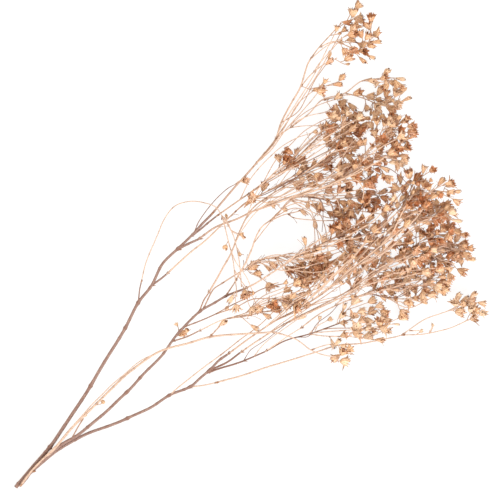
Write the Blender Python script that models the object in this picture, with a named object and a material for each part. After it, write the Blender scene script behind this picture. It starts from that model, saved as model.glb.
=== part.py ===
# A dried gypsophila branch, cut and laid down on a flat surface.
# Two stems lie side by side at the cut end, fork towards the head, and carry sprays of thin twigs
# that end in dry five-toothed calyxes.
#
# Places are written in millimetres as (right, down, height). Right and down are measured on a
# 500 mm square sheet under the branch, from its far left corner; height is above the sheet.
# lay() turns them so that the branch runs along +X, with the part's origin on the sheet under
# the middle of its box.

import math
import random

import bmesh
import bpy
import numpy as np
from mathutils import Vector

MM = 0.001

# Where the main stem is cut, and how far the branch is turned on the sheet to run along +X.
CUT_RIGHT = 14.5
CUT_DOWN = 488.5
LAY_ANGLE = math.radians(38.0)
BOX_CENTRE_X = 287.4
BOX_CENTRE_Y = 9.1

# Stems and twigs.
STEM_RADIUS = 2.1
SECOND_RADIUS = 1.45
THICK_RADIUS = 0.85
STEM_SIDES = 5
TWIG_SIDES = 3
# How far a section's corners stand out, so that it looks as thick as a round one.
CORNER_REACH = {3: 1.25, 5: 1.08}
# A swollen node: how much thicker it is, and half its length.
KNOB_SWELL = 1.4
KNOB_LENGTH = 2.6

# Stalks of the heads: thickness at the root, room between roots, the stretch of a stalk that
# others may fork from, the shortest stalk, the length from which one bends, how far its root is
# sunk, and how much a stalk that turns back costs when the best root is chosen.
STALK_RADIUS = 0.45
ROOT_RADIUS = 0.17
ROOTS_APART = 2.5
ROOT_STEP = 4.0
FORK_FROM = 0.4
FORK_TO = 0.75
STALK_MIN = 7.0
STALK_SHORT = 4.2
STALK_BENT = 30.0
STALK_SINK = 0.25
BACKWARD_COST = 1.1

# A head's own scale, and the share of its length that its place lies above its foot.
SCALE_LOW = 0.88
SCALE_HIGH = 1.12
MIDDLE = 0.45

# The seam between a stem and a spray that goes on from it, the room kept between nodes and
# inside one, the heights that the heads stay between, how far a head may stand above or below
# its twig, how far it may drift on the sheet, and how often it is drawn again.
SEAM = 0.3
CLEARANCE = 0.6
OWN_CLEARANCE = 0.15
LOWEST = 2.2
HIGHEST = 104.0
SPREAD = 9.0
DRIFT = 0.5
DRIFT_GROWTH = 2.5
SPREAD_GROWTH = 2.0
TRIES = 60

# Filling heads: how many places are drawn for each before the emptiest is taken.
FILL_DRAWS = 14
FILL_MISSES = 3
FILL_KINDS = ("cup", "cup", "cup", "cup", "star", "pod")

# Length and width of each kind of head, the width at its foot, the share of the length at which
# its teeth part, the reach of their tips as a share of the belly's, and how deep its mouth is.
KINDS = {
    "cup": dict(length=10.5, width=6.8, foot=1.7, part=0.62, flare=1.12, mouth=0.36),
    "star": dict(length=9.0, width=6.6, foot=1.7, part=0.46, flare=1.72, mouth=0.30),
    "big": dict(length=13.0, width=8.6, foot=2.1, part=0.66, flare=1.14, mouth=0.38),
    "pod": dict(length=12.0, width=4.4, foot=1.4, part=0.58, flare=0.42, mouth=0.66),
    "bud": dict(length=5.6, width=4.0, foot=1.3, part=0.55, flare=0.45, mouth=0.62),
}
TEETH = 5
# How far a head may lean away from the line of its stalk.
LEAN = 0.35

# A head that the branch leans on is sunk this far into the sheet, then trimmed flat there.
FLAT_DEPTH = 0.5

# The space under the sheet, in metres: its length, width and thickness.
SLAB = (1.2, 1.2, 0.02)

# Finishes: red, green, blue and roughness, and the nodes that have each one.
FINISHES = {
    "dark_bark": (0.30, 0.16, 0.12, 0.62),
    "brown_bark": (0.42, 0.24, 0.17, 0.62),
    "pale_twig": (0.62, 0.40, 0.25, 0.62),
    "tan_calyx": (0.56, 0.34, 0.19, 0.72),
    "brown_calyx": (0.40, 0.20, 0.11, 0.72),
}
FINISH_OF = {
    "main_stem": "dark_bark",
    "second_stem": "brown_bark",
    "twig_loop": "pale_twig",
    "drooping_spray": "pale_twig",
    "low_tip_spray": "pale_twig",
    "crown_spray": "brown_calyx",
    "middle_dark_spray": "brown_calyx",
    "arch_spray": "brown_calyx",
    "inner_spray": "brown_calyx",
    "side_spray": "brown_calyx",
    "right_high_spray": "brown_calyx",
    "right_low_spray": "brown_calyx",
}


# Stems. Each is a set of routes: the first is its trunk and the others grow out of it. A route is
# (radius at its start, radius at its end, points).
STEMS = {
    "main_stem": [
        (STEM_RADIUS, 0.95, [
            (14.5, 488.5, 2.0), (31, 469, 3.4), (49, 448, 6.0), (60, 432, 8.2), (77, 407, 11.5),
            (90, 386, 14.0), (108, 356, 17.5), (125, 328, 21.5), (138, 303, 24.5),
            (151, 286, 27.0), (162, 264.5, 29.8), (178, 248.5, 33.0), (192, 235, 35.8),
            (203, 223, 39), (211, 215, 42)]),
        (0.9, 0.7, [(190.5, 236.5, 35.4), (200, 229.5, 34.5), (216, 216.5, 34)]),
        (0.7, 0.42, [(194, 233, 36.3), (199, 221, 41), (212, 204, 46), (227, 189, 51),
                    (237, 183.5, 53)]),
        (1.1, 0.95, [(177, 249.5, 32.8), (188, 244, 35), (198, 239.5, 37)]),
        (0.9, 0.8, [(151, 286, 27), (158, 281, 26), (166, 274.5, 25)]),
        (0.55, 0.5, [(138, 303, 24.5), (139, 292, 29), (141, 283, 33)]),
    ],
    "second_stem": [
        (SECOND_RADIUS, 0.7, [
            (21, 484.5, 5.4), (30, 473, 6.9), (42, 461, 8.9), (60, 446, 11), (78, 435, 13),
            (100, 417, 16), (126, 393, 19.5), (140, 378, 21.5), (162, 355, 25.5),
            (180, 331, 29), (200, 311.5, 33), (215, 302.5, 35), (226, 296, 37),
            (236, 292, 39), (244, 289, 40.5)]),
        (1.1, 0.7, [
            (41, 462, 8.8), (55, 448, 12), (70, 430, 16.5), (90, 410, 22), (112, 388.5, 27),
            (132, 370, 32), (158, 352.5, 37.5), (190, 342.5, 42), (210, 337, 44),
            (240, 334, 46), (258, 333, 46.5), (272, 332, 46)]),
        (1.25, 0.7, [
            (30, 473, 6.9), (47, 458.5, 7.2), (60, 449, 7.4), (83, 436, 8), (107, 427, 9),
            (127, 419, 10.5), (150, 408, 12.5), (169, 396, 14.5), (190, 387, 17),
            (200, 378.5, 18.5), (210, 370, 20), (219, 360.5, 23), (227, 355, 25)]),
        (0.5, 0.42, [(210, 337, 44), (215, 331, 46), (220, 326, 48)]),
        (0.9, 0.8, [(199, 312.5, 32.8), (204, 300, 35), (208, 294, 36)]),
        (0.75, 0.65, [(203, 309.5, 33.5), (213, 290, 31), (221, 284, 29)]),
        (0.75, 0.7, [(226, 296, 37), (231, 288, 38), (235, 282, 38.5)]),
        (0.6, 0.5, [(172, 341.5, 27.4), (186, 337, 31), (198, 331.5, 34)]),
        (0.55, 0.42, [(184, 327, 29.8), (205, 319, 36), (218, 313, 39)]),
        (0.8, 0.7, [(209, 371, 19.8), (226, 363, 21.5), (240, 353, 22.5)]),
        (0.8, 0.7, [(207, 373, 19.5), (226, 367, 17.5), (243, 361.5, 16)]),
        (0.9, 0.8, [(189, 387.5, 16.9), (202, 386, 15), (214, 383.5, 13.5)]),
        (0.5, 0.42, [(169, 396, 14.5), (180, 386, 20), (200, 370.5, 28), (222, 354, 33)]),
        (0.5, 0.42, [(71, 439.5, 12.2), (78, 427, 14), (83, 419, 15.5)]),
    ],
}

# Swollen nodes: the places on the trunks and their forks where the tube is thicker.
KNOBS = [
    (49, 448, 6.0), (90, 386, 14.0), (125, 328, 21.5), (138, 303, 24.5), (178, 248.5, 33.0),
    (42, 461, 8.9), (126, 393, 19.5), (140, 378, 21.5), (180, 331, 29), (200, 311.5, 33),
    (127, 419, 10.5), (169, 396, 14.5), (190, 387, 17), (210, 370, 20), (226, 296, 37),
    (210, 337, 44),
]

# Heads that grow straight from the stems.
STEM_HEADS = {
    "main_stem": dict(star=[(244, 181)]),
    "second_stem": dict(
        bud=[(103, 402), (176, 324), (187, 330), (84, 416)],
        cup=[(182, 334)],
        pod=[(224, 322)]),
}

# Sprays. The first route goes on from a stem or from another spray; the others grow out of
# routes of the same spray. A route may end free, or at the start of another spray. Each kind of
# head has its places; fill adds heads in an ellipse (right, down, reach right, reach down, count).
SPRAYS = {
    "top_spray": dict(
        routes=[
            (0.95, 0.6, [(211, 215, 42), (236, 186, 49), (260, 159, 54), (275, 140, 56),
                         (281, 123, 58), (291, 104, 60), (300, 88, 62), (307, 66, 64),
                         (310, 60, 65)]),
            (0.5, 0.42, [(310, 60, 65), (319, 48, 68), (331, 34.5, 70), (341, 24, 66)]),
            (0.5, 0.42, [(319, 48, 68), (334, 42, 73), (351, 44, 76)]),
            (0.5, 0.42, [(300, 88, 62), (311, 75, 56), (325, 64, 50), (337, 58, 45)]),
            (0.55, 0.5, [(275, 140, 56), (282, 133.5, 54), (290, 128, 52)]),
        ],
        cup=[(357, 6), (353, 13), (358, 19), (347, 24), (351, 40), (360, 35), (368, 37),
             (376, 35), (362, 46), (345, 53), (349, 58), (342, 78)],
        star=[(367, 26), (320, 91)],
        pod=[(330, 57), (377, 43), (362, 62), (338, 84)],
        bud=[(339, 34), (341, 43), (348, 64)],
        big=[(362, 52)],
        fill=[(357, 40, 20, 30, 4)]),
    "top_side_spray": dict(
        routes=[
            (0.5, 0.45, [(290, 128, 52), (310, 113, 48), (322, 100, 45), (345, 93, 43),
                         (360, 82, 44), (372, 78, 45)]),
            (0.5, 0.42, [(345, 93, 43), (364, 98, 24), (381, 105, 8.5)]),
            (0.5, 0.42, [(322, 100, 45), (336, 98, 38), (348, 100, 33)]),
        ],
        cup=[(384, 78), (391, 82), (380, 91), (397, 93), (356, 95), (341, 103), (390, 98),
             (399, 103), (369, 96)],
        star=[(377, 105)],
        pod=[(387, 71), (401, 79), (408, 99), (353, 107)],
        low=[(393, 109)],
        fill=[(385, 90, 20, 15, 6)]),
    "crown_spray": dict(
        routes=[
            (0.7, 0.6, [(216, 216.5, 34), (240, 199.5, 36), (264, 183, 39), (287, 168, 42),
                        (300, 155, 45), (318, 138, 49), (334, 128, 52), (350, 120, 53)]),
            (0.5, 0.42, [(287, 168, 42), (310, 160, 40), (330, 150, 37), (340, 144, 35)]),
            (0.5, 0.42, [(264, 183, 39), (276, 171, 44), (284, 164, 47)]),
        ],
        cup=[(279, 158), (285, 162), (296, 153), (300, 161), (292, 165), (331, 116), (335, 119),
             (338, 136), (345, 128), (360, 128), (358, 135), (352, 148), (322, 128)],
        star=[(329, 129)],
        pod=[(346, 110), (366, 118)],
        fill=[(343, 127, 20, 20, 7), (290, 160, 12, 9, 2)]),
    "upper_spray": dict(
        routes=[
            (0.95, 0.5, [(198, 239.5, 37), (216, 227, 41), (238, 218.5, 47), (253, 211.5, 52),
                         (273, 204.5, 57), (300, 195, 62), (325, 187, 66), (352, 172, 70),
                         (365, 165, 72), (380, 163, 73), (393, 152, 74)]),
            (0.5, 0.42, [(352, 172, 70), (366, 152, 74), (380, 137, 76), (398, 129, 76)]),
            (0.5, 0.42, [(300, 195, 62), (325, 184, 61), (345, 180, 62), (362, 181, 63)]),
        ],
        cup=[(371, 127), (384, 123), (397, 122), (404, 121), (411, 127), (412, 133), (400, 131),
             (374, 135), (384, 143), (390, 155), (355, 165), (360, 160), (366, 183), (398, 165)],
        star=[(374, 179)],
        pod=[(405, 157), (372, 147)],
        fill=[(388, 140, 25, 20, 11), (372, 170, 22, 14, 6)]),
    "pale_spray": dict(
        routes=[
            (0.8, 0.45, [(166, 274.5, 25), (192, 251, 26), (204, 241.5, 27), (217, 229.5, 29),
                         (240, 207.5, 33), (252, 199, 35), (270, 190, 37), (292, 177, 39),
                         (312, 167, 40)]),
            (0.5, 0.42, [(252, 199, 35), (268, 203, 30), (280, 205, 27)]),
        ],
        cup=[(264, 188), (272, 204), (298, 185), (310, 177), (327, 160)],
        star=[(251, 197), (330, 168)],
        pod=[(285, 209), (313, 186)],
        bud=[(226, 216)],
        fill=[(318, 174, 20, 13, 3)]),
    "twig_loop": dict(
        routes=[
            (0.5, 0.42, [(141, 283, 33), (145, 266, 40), (151, 250, 47), (159, 232, 55),
                        (163, 222, 59), (168, 213.5, 62), (173, 208, 64), (180, 204, 65.5),
                        (193, 201.3, 66.5), (205, 203, 66), (216, 207.5, 64), (222, 216, 61)]),
            (0.5, 0.42, [(222, 216, 61), (227, 235, 56), (231, 251, 52), (234, 268, 48.5),
                        (236, 284, 46), (237, 297, 44)]),
            (0.5, 0.42, [(222, 216, 61), (232, 232, 60), (237, 249, 57.5), (240, 268, 53),
                          (241.5, 287, 49)]),
        ],
        cup=[(245, 294)],
        star=[(237, 309), (252, 310)],
        pod=[(231, 300)],
        bud=[(227, 308), (242, 235), (226, 247), (240, 254)]),
    "middle_pale_spray": dict(
        routes=[
            (0.8, 0.42, [(208, 294, 36), (220, 273, 37), (230, 255, 38), (240, 231, 39),
                        (249, 213, 41), (264, 199, 44), (282, 188, 47), (300, 176, 50),
                        (322, 163, 55), (338, 152, 59)]),
            (0.5, 0.42, [(264, 199, 44), (280, 196, 49), (296, 188, 54)]),
        ],
        cup=[(312, 184), (343, 143), (349, 157), (318, 177), (336, 178)],
        star=[(340, 166)],
        pod=[(300, 172)],
        fill=[(345, 165, 20, 20, 7)]),
    "middle_dark_spray": dict(
        routes=[
            (0.7, 0.45, [(235, 282, 38.5), (246, 262, 36), (252, 248, 35), (255, 239, 34.5),
                         (262, 227, 34), (276, 216, 34), (290, 200, 35), (308, 197, 37),
                         (330, 199, 40), (352, 197, 43), (370, 196, 45)]),
            (0.5, 0.42, [(270, 221, 34), (284, 215, 30), (300, 211, 27)]),
            (0.5, 0.42, [(308, 197, 37), (315, 206, 33), (318, 216, 30)]),
        ],
        cup=[(348, 196), (342, 203), (322, 206), (366, 197), (331, 213), (357, 207)],
        star=[(377, 208), (329, 191)],
        pod=[(308, 205), (383, 192), (315, 224), (304, 212)],
        fill=[(357, 204, 36, 17, 14)]),
    "arch_spray": dict(
        routes=[
            (0.6, 0.42, [(221, 284, 29), (243, 270, 25), (257, 261.5, 22), (275, 257, 19.5),
                        (293, 256, 17.5), (310, 258, 16.5), (326, 262, 16)]),
            (0.5, 0.42, [(275, 257, 19.5), (288, 268, 15), (300, 277, 12)]),
        ],
        cup=[(252, 267), (257, 274), (271, 263), (297, 282), (304, 277), (310, 272),
             (317, 270), (335, 262), (315, 250), (308, 254), (343, 258)],
        star=[(289, 269), (270, 286), (327, 267)],
        pod=[(268, 268), (300, 262)],
        fill=[(316, 268, 34, 13, 8)]),
    "inner_spray": dict(
        routes=[
            (0.7, 0.45, [(244, 289, 40.5), (256, 283, 42), (275, 271, 43), (293, 259, 45),
                         (315, 247, 48), (336, 237, 51), (356, 229, 54), (374, 228, 56)]),
            (0.5, 0.42, [(315, 247, 48), (328, 246, 44), (342, 247, 41)]),
            (0.5, 0.42, [(336, 237, 51), (352, 243, 49), (368, 249, 49), (384, 250, 50)]),
        ],
        cup=[(344, 222), (356, 226), (357, 238), (353, 247), (367, 238), (333, 229)],
        star=[(323, 240), (385, 240)],
        pod=[(370, 218), (305, 240)],
        fill=[(366, 236, 32, 18, 15)]),
    "side_spray": dict(
        routes=[
            (0.5, 0.42, [(198, 331.5, 34), (220, 321, 37), (246, 313, 39), (268, 304, 39),
                        (288, 296, 38), (300, 290, 37)]),
        ],
        cup=[(286, 290), (304, 285), (275, 309), (298, 301)],
        star=[(296, 309)],
        pod=[(255, 328), (268, 316)],
        fill=[(295, 300, 13, 12, 3)]),
    "right_high_spray": dict(
        routes=[
            (0.7, 0.5, [(227, 355, 25), (250, 338, 30), (275, 321, 35), (300, 308, 40),
                        (330, 288, 49), (356, 266, 58), (380, 245, 65), (400, 229, 69),
                        (420, 219, 72), (438, 212, 74)]),
            (0.5, 0.42, [(380, 245, 65), (390, 228, 70), (402, 213, 75), (420, 199, 79),
                         (434, 190, 81)]),
            (0.5, 0.42, [(402, 213, 75), (406, 198, 72), (412, 186, 70)]),
        ],
        cup=[(408, 174), (424, 184), (439, 195), (428, 188), (447, 205), (425, 205), (405, 204),
             (420, 201), (435, 221), (440, 214), (393, 199)],
        star=[(417, 178), (451, 212)],
        pod=[(440, 181), (456, 192), (457, 221), (414, 212)],
        fill=[(425, 196, 33, 27, 17)]),
    "right_middle_spray": dict(
        routes=[
            (0.7, 0.5, [(240, 353, 22.5), (262, 338, 25), (285, 324, 28), (318, 307, 32),
                        (350, 290, 36), (375, 273, 39), (400, 259, 41), (425, 251, 41),
                        (445, 246, 39)]),
            (0.5, 0.42, [(400, 259, 41), (418, 243, 46), (436, 234, 51), (450, 230, 54)]),
            (0.5, 0.42, [(425, 251, 41), (439, 250, 24), (453, 247, 8.5)]),
            (0.5, 0.42, [(425, 251, 41), (440, 259, 38), (455, 264, 36)]),
        ],
        cup=[(457, 231), (464, 235), (458, 239), (438, 240), (408, 241), (420, 237), (406, 252),
             (415, 249), (420, 262), (411, 261), (427, 260), (456, 257), (462, 271), (450, 277),
             (440, 270)],
        star=[(450, 245), (427, 254)],
        pod=[(472, 259), (471, 249), (430, 226)],
        low=[(465, 245)],
        fill=[(438, 247, 36, 22, 18)]),
    "right_low_spray": dict(
        routes=[
            (0.55, 0.42, [(300, 329, 19), (320, 314, 20), (335, 306, 20.5), (352, 299, 21),
                         (368, 293, 22), (390, 285, 24), (412, 281, 26), (430, 279, 27)]),
            (0.5, 0.42, [(368, 293, 22), (390, 298, 19), (408, 299, 18), (425, 294, 18)]),
            (0.5, 0.42, [(352, 299, 21), (366, 283, 27), (378, 268, 31), (390, 256, 33)]),
        ],
        cup=[(400, 272), (415, 271), (447, 284), (430, 283), (437, 289), (425, 291), (433, 295),
             (416, 297), (410, 302), (400, 284), (388, 274), (376, 283)],
        star=[(403, 313), (380, 290)],
        pod=[(355, 287), (443, 276)],
        fill=[(415, 284, 36, 19, 13), (383, 264, 22, 20, 9)]),
    "lower_spray": dict(
        routes=[
            (0.7, 0.5, [(243, 361.5, 16.5), (265, 352, 14), (284, 341.5, 12.5), (309, 334.5, 11),
                        (333, 326, 10.5), (350, 320, 10.5)]),
            (0.5, 0.42, [(265, 352, 14), (284, 339, 17), (300, 329, 19)]),
            (0.5, 0.42, [(309, 334.5, 11), (336, 337, 10), (352, 336, 10)]),
        ],
        cup=[(354, 316), (362, 311), (372, 312), (380, 305), (385, 313), (370, 322), (345, 335),
             (358, 334), (367, 335), (381, 340), (356, 301)],
        star=[(389, 331)],
        pod=[(334, 345), (345, 307)],
        bud=[(320, 318)],
        fill=[(367, 318, 25, 19, 10)]),
    "drooping_spray": dict(
        routes=[
            (0.7, 0.42, [(272, 332, 46), (285, 335, 45), (297, 340, 42.5), (311, 350, 38),
                         (325, 355.5, 33), (338, 357, 28)]),
            (0.5, 0.42, [(311, 350, 38), (322, 346, 36), (333, 344, 34)]),
        ],
        cup=[(350, 350), (344, 361)],
        star=[(343, 352)],
        pod=[(338, 341)],
        fill=[(343, 352, 9, 8, 2)]),
    "low_tip_spray": dict(
        routes=[
            (0.8, 0.5, [(214, 383.5, 13.5), (240, 376.5, 11), (268, 367.5, 9.5),
                        (292, 360, 8.5), (318, 352, 8), (338, 346, 8), (363, 343.5, 8.5),
                        (395, 337.5, 10), (402, 335.5, 10.5)]),
            (0.5, 0.42, [(402, 335.5, 10.5), (425, 320, 14), (440, 314, 17), (458, 308, 20)]),
            (0.5, 0.42, [(402, 335.5, 10.5), (428, 334, 12), (450, 328.5, 14), (465, 322, 17)]),
            (0.5, 0.42, [(410, 331, 11.5), (421, 331, 13)]),
            (0.5, 0.42, [(430, 333.5, 12), (433, 326, 13)]),
        ],
        cup=[(456, 303), (472, 302), (483, 303), (477, 310), (483, 313), (461, 312)],
        star=[(475, 318)],
        pod=[(459, 297), (474, 294)],
        bud=[(422, 331.5), (433, 325)],
        fill=[(471, 307, 14, 11, 3)]),
}


def lay(place):
    """A place on the sheet, in millimetres in the part's frame."""
    right = place[0] - CUT_RIGHT
    up = CUT_DOWN - place[1]
    x = right * math.cos(LAY_ANGLE) + up * math.sin(LAY_ANGLE) - BOX_CENTRE_X
    y = up * math.cos(LAY_ANGLE) - right * math.sin(LAY_ANGLE) - BOX_CENTRE_Y
    return Vector((x, y, place[2]))


def segment_gap(start, end, others):
    """Smallest distance from one segment to each of a table of segments."""
    if len(others) == 0:
        return np.zeros(0)
    p = np.array(start)
    q = np.array(end)
    a = others[:, 0:3]
    b = others[:, 3:6]
    steps = np.linspace(0.0, 1.0, 5)
    points = p + np.outer(steps, q - p)
    line = b - a
    length = np.maximum((line * line).sum(axis=1), 1e-9)
    best = np.full(len(others), 1e9)
    for point in points:
        share = np.clip(((point - a) * line).sum(axis=1) / length, 0.0, 1.0)
        near = a + share[:, None] * line
        best = np.minimum(best, np.linalg.norm(near - point, axis=1))
    own = q - p
    own_length = max(float(own @ own), 1e-9)
    for ends in (a, b):
        share = np.clip(((ends - p) @ own) / own_length, 0.0, 1.0)
        near = p + share[:, None] * own
        best = np.minimum(best, np.linalg.norm(near - ends, axis=1))
    return best


class Room:
    """The space that each node's stems, twigs and heads take up."""

    def __init__(self):
        self.rows = []
        self.owners = []
        self.table = None

    def take(self, owner, start, end, radius):
        self.rows.append([*start, *end, radius])
        self.owners.append(owner)
        self.table = None

    def free(self, owner, start, end, radius, clearance):
        """How much room is left round a segment, beyond the clearance."""
        if self.table is None:
            self.table = np.array(self.rows)
            self.names = np.array(self.owners)
        mask = self.names != owner
        others = self.table[mask]
        gaps = segment_gap(start, end, others) - others[:, 6] - radius
        return float(gaps.min()) - clearance


def tube_profile(name, sides):
    """The section of a tube: a regular outline with few sides."""
    curve = bpy.data.curves.new(name, "CURVE")
    curve.dimensions = "2D"
    spline = curve.splines.new("POLY")
    spline.points.add(sides - 1)
    spline.use_cyclic_u = True
    for number in range(sides):
        angle = 2 * math.pi * number / sides
        reach = CORNER_REACH[sides] * MM
        spline.points[number].co = (reach * math.cos(angle), reach * math.sin(angle), 0.0, 1.0)
    profile = bpy.data.objects.new(name, curve)
    bpy.context.scene.collection.objects.link(profile)
    return profile


def swollen(points, start_radius, end_radius):
    """Points along a route with their radii, and the swollen nodes on it."""
    knobs = [lay(place) for place in KNOBS]
    stops = []
    last = len(points) - 1
    for number, point in enumerate(points):
        radius = start_radius + (end_radius - start_radius) * number / last
        is_knob = 0 < number < last and min((point - knob).length for knob in knobs) < 0.01
        if is_knob:
            before = (points[number - 1] - point).normalized() * KNOB_LENGTH
            after = (points[number + 1] - point).normalized() * KNOB_LENGTH
            stops.append((point + before, radius))
            stops.append((point, radius * KNOB_SWELL))
            stops.append((point + after, radius))
        else:
            stops.append((point, radius))
    return stops


def tube_mesh(name, points, start_radius, end_radius, profile):
    """A tapered tube along a route, as a closed mesh."""
    curve = bpy.data.curves.new(name, "CURVE")
    curve.dimensions = "3D"
    curve.twist_mode = "MINIMUM"
    curve.bevel_mode = "OBJECT"
    curve.bevel_object = profile
    curve.use_fill_caps = True
    spline = curve.splines.new("POLY")
    stops = swollen(points, start_radius, end_radius)
    spline.points.add(len(stops) - 1)
    for number, (point, radius) in enumerate(stops):
        spline.points[number].co = (*(point * MM), 1.0)
        spline.points[number].radius = radius
    guide = bpy.data.objects.new(name, curve)
    bpy.context.scene.collection.objects.link(guide)
    graph = bpy.context.evaluated_depsgraph_get()
    mesh = bpy.data.meshes.new_from_object(guide.evaluated_get(graph))
    body = bmesh.new()
    body.from_mesh(mesh)
    bmesh.ops.remove_doubles(body, verts=body.verts, dist=1e-6)
    bmesh.ops.recalc_face_normals(body, faces=body.faces)
    body.to_mesh(mesh)
    body.free()
    bpy.data.objects.remove(guide)
    bpy.data.curves.remove(curve)
    return mesh


def side_of(direction, before):
    """A vector square to a direction, turned as little as it can be from the one before."""
    side = before - direction * before.dot(direction)
    return side.normalized()


def ring(body, centre, direction, side, radius, count, turn):
    """A ring of vertices round a centre."""
    other = direction.cross(side)
    verts = []
    for number in range(count):
        angle = turn + 2 * math.pi * number / count
        offset = side * math.cos(angle) + other * math.sin(angle)
        verts.append(body.verts.new((centre + offset * radius) * MM))
    return verts


def bridge(body, low, high):
    """Triangles between two rings, whatever their counts; both start at the same angle."""
    i = 0
    j = 0
    while i < len(low) or j < len(high):
        next_low = (i + 1) / len(low)
        next_high = (j + 1) / len(high)
        a = low[i % len(low)]
        b = high[j % len(high)]
        if next_low <= next_high:
            body.faces.new((a, low[(i + 1) % len(low)], b))
            i += 1
        else:
            body.faces.new((a, high[(j + 1) % len(high)], b))
            j += 1


def head_mesh(name, head):
    """One head with its stalk: a three-sided stalk, a five-sided belly and five teeth."""
    kind = KINDS[head["kind"]]
    body = bmesh.new()
    stalk = head["stalk"]
    first = (stalk[1] - stalk[0]).normalized()
    side = side_of(first, first.orthogonal())
    rings = []
    for number, point in enumerate(stalk):
        ahead = stalk[min(number + 1, len(stalk) - 1)] - stalk[max(number - 1, 0)]
        direction = ahead.normalized()
        side = side_of(direction, side)
        share = number / (len(stalk) - 1)
        radius = ROOT_RADIUS + (kind["foot"] * 0.5 - ROOT_RADIUS) * share
        rings.append(ring(body, point, direction, side, radius, 3, 0.0))
    body.faces.new(tuple(reversed(rings[0])))
    for low, high in zip(rings, rings[1:]):
        bridge(body, low, high)
    axis = head["axis"]
    foot = head["foot"]
    side = side_of(axis, side)
    length = kind["length"] * head["scale"]
    width = kind["width"] * 0.5 * head["scale"]
    belly = ring(body, foot + axis * length * kind["part"], axis, side, width, TEETH, 0.0)
    bridge(body, rings[-1], belly)
    reach = width * kind["flare"]
    tips = ring(body, foot + axis * length, axis, side, reach, TEETH, math.pi / TEETH)
    mouth = body.verts.new((foot + axis * length * kind["mouth"]) * MM)
    for number in range(TEETH):
        left = belly[number]
        right = belly[(number + 1) % TEETH]
        body.faces.new((left, right, tips[number]))
        body.faces.new((tips[number], right, mouth))
        body.faces.new((left, tips[number], mouth))
    bmesh.ops.recalc_face_normals(body, faces=body.faces)
    mesh = bpy.data.meshes.new(name)
    body.to_mesh(mesh)
    body.free()
    return mesh


def samples_of(points):
    """Places along a route that a stalk may grow from, with the direction there."""
    found = []
    for number in range(len(points) - 1):
        start = points[number]
        end = points[number + 1]
        direction = (end - start).normalized()
        count = max(1, int((end - start).length / ROOT_STEP))
        for step in range(count):
            share = (step + 0.5) / count
            found.append((start.lerp(end, share), direction))
    return found


def grow_stalk(tree, target):
    """The stalk to a head's place from the best place on the twigs so far."""
    best = None
    best_cost = 1e9
    for place, direction in tree:
        way = target - place
        length = way.length
        if length < STALK_MIN:
            continue
        cost = length * (1.0 + BACKWARD_COST * (1.0 - way.dot(direction) / length))
        if cost < best_cost:
            best = (place, direction)
            best_cost = cost
    return best


def fork_head(tree, kind, target, scale, rng):
    """A head at a place: its stalk's points, its foot and its axis."""
    size = KINDS[kind]["length"] * scale
    place, direction = grow_stalk(tree, target)
    way = (target - place).normalized()
    jitter = Vector((rng.uniform(-1, 1), rng.uniform(-1, 1), rng.uniform(-1, 1)))
    axis = (way + jitter * LEAN).normalized()
    foot = target - axis * size * MIDDLE
    if (foot - place).length < STALK_SHORT:
        foot = place + way * STALK_SHORT
    root = place - direction * STALK_SINK
    stalk = [root]
    if (foot - place).length > STALK_BENT:
        lead = (way + direction * 0.5).normalized()
        stalk.append(root + lead * (foot - root).length * 0.5)
    stalk.append(foot)
    return dict(kind=kind, stalk=stalk, foot=foot, axis=axis, scale=scale, root=place)


def head_parts(head):
    """The segments that a head and its stalk fill."""
    kind = KINDS[head["kind"]]
    width = kind["width"] * 0.5 * head["scale"]
    length = kind["length"] * head["scale"]
    reach = max(width, width * kind["flare"])
    tip = head["foot"] + head["axis"] * length
    middle = head["foot"].lerp(tip, MIDDLE)
    parts = []
    for start, end in zip(head["stalk"], head["stalk"][1:]):
        parts.append((start, end, STALK_RADIUS))
    body = (middle, tip, max(reach, width) * 1.02)
    return parts, body


def gap_to(table, start, end, radius):
    """Room between one segment and a list of segments."""
    if not table:
        return 1e9
    rows = np.array(table)
    return float((segment_gap(start, end, rows) - rows[:, 6]).min()) - radius


def fits(room, own, owner, head):
    """How well a head clears the sheet, the other nodes and its own spray."""
    parts, body = head_parts(head)
    start, end, radius = body
    margin = min(start.z, end.z) - radius - LOWEST
    margin = min(margin, HIGHEST - max(start.z, end.z) - radius)
    margin = min(margin, room.free(owner, start, end, radius, CLEARANCE))
    margin = min(margin, gap_to(own["heads"], start, end, radius) - OWN_CLEARANCE)
    margin = min(margin, gap_to(own["stalks"], start, end, radius * 0.9) - OWN_CLEARANCE)
    for start, end, radius in parts:
        margin = min(margin, min(start.z, end.z) - radius - LOWEST * 0.7)
        margin = min(margin, room.free(owner, start, end, radius, CLEARANCE))
        outer = start.lerp(end, 0.4)
        margin = min(margin, gap_to(own["heads"], start, end, radius) - OWN_CLEARANCE)
        margin = min(margin, gap_to(own["stalks"], outer, end, radius))
    return margin


def settle_head(room, own, owner, tree, kind, place, heights, rng):
    """Redraws a head's height and lean until it is clear of all that stands there."""
    scale = rng.uniform(SCALE_LOW, SCALE_HIGH)
    for attempt in range(TRIES):
        drift = DRIFT + DRIFT_GROWTH * attempt / TRIES
        spread = SPREAD * (1.0 + SPREAD_GROWTH * attempt / TRIES)
        right = place[0] + rng.uniform(-drift, drift)
        down = place[1] + rng.uniform(-drift, drift)
        height = heights(right, down) + rng.uniform(-spread, spread)
        target = lay((right, down, height))
        head = fork_head(tree, kind, target, scale, rng)
        if fits(room, own, owner, head) >= 0.0:
            return head
    return None


def rest_head(tree, place, rng):
    """A big head that the branch leans on: it lies along the sheet, a little into it."""
    kind = "big"
    width = KINDS[kind]["width"] * 0.5
    target = lay((place[0], place[1], width - FLAT_DEPTH))
    head = fork_head(tree, kind, target, 1.0, rng)
    flat = Vector((head["axis"].x, head["axis"].y, 0.0)).normalized()
    head["axis"] = flat
    head["foot"] = target - flat * KINDS[kind]["length"] * 0.5
    head["stalk"][-1] = head["foot"]
    return head


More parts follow.
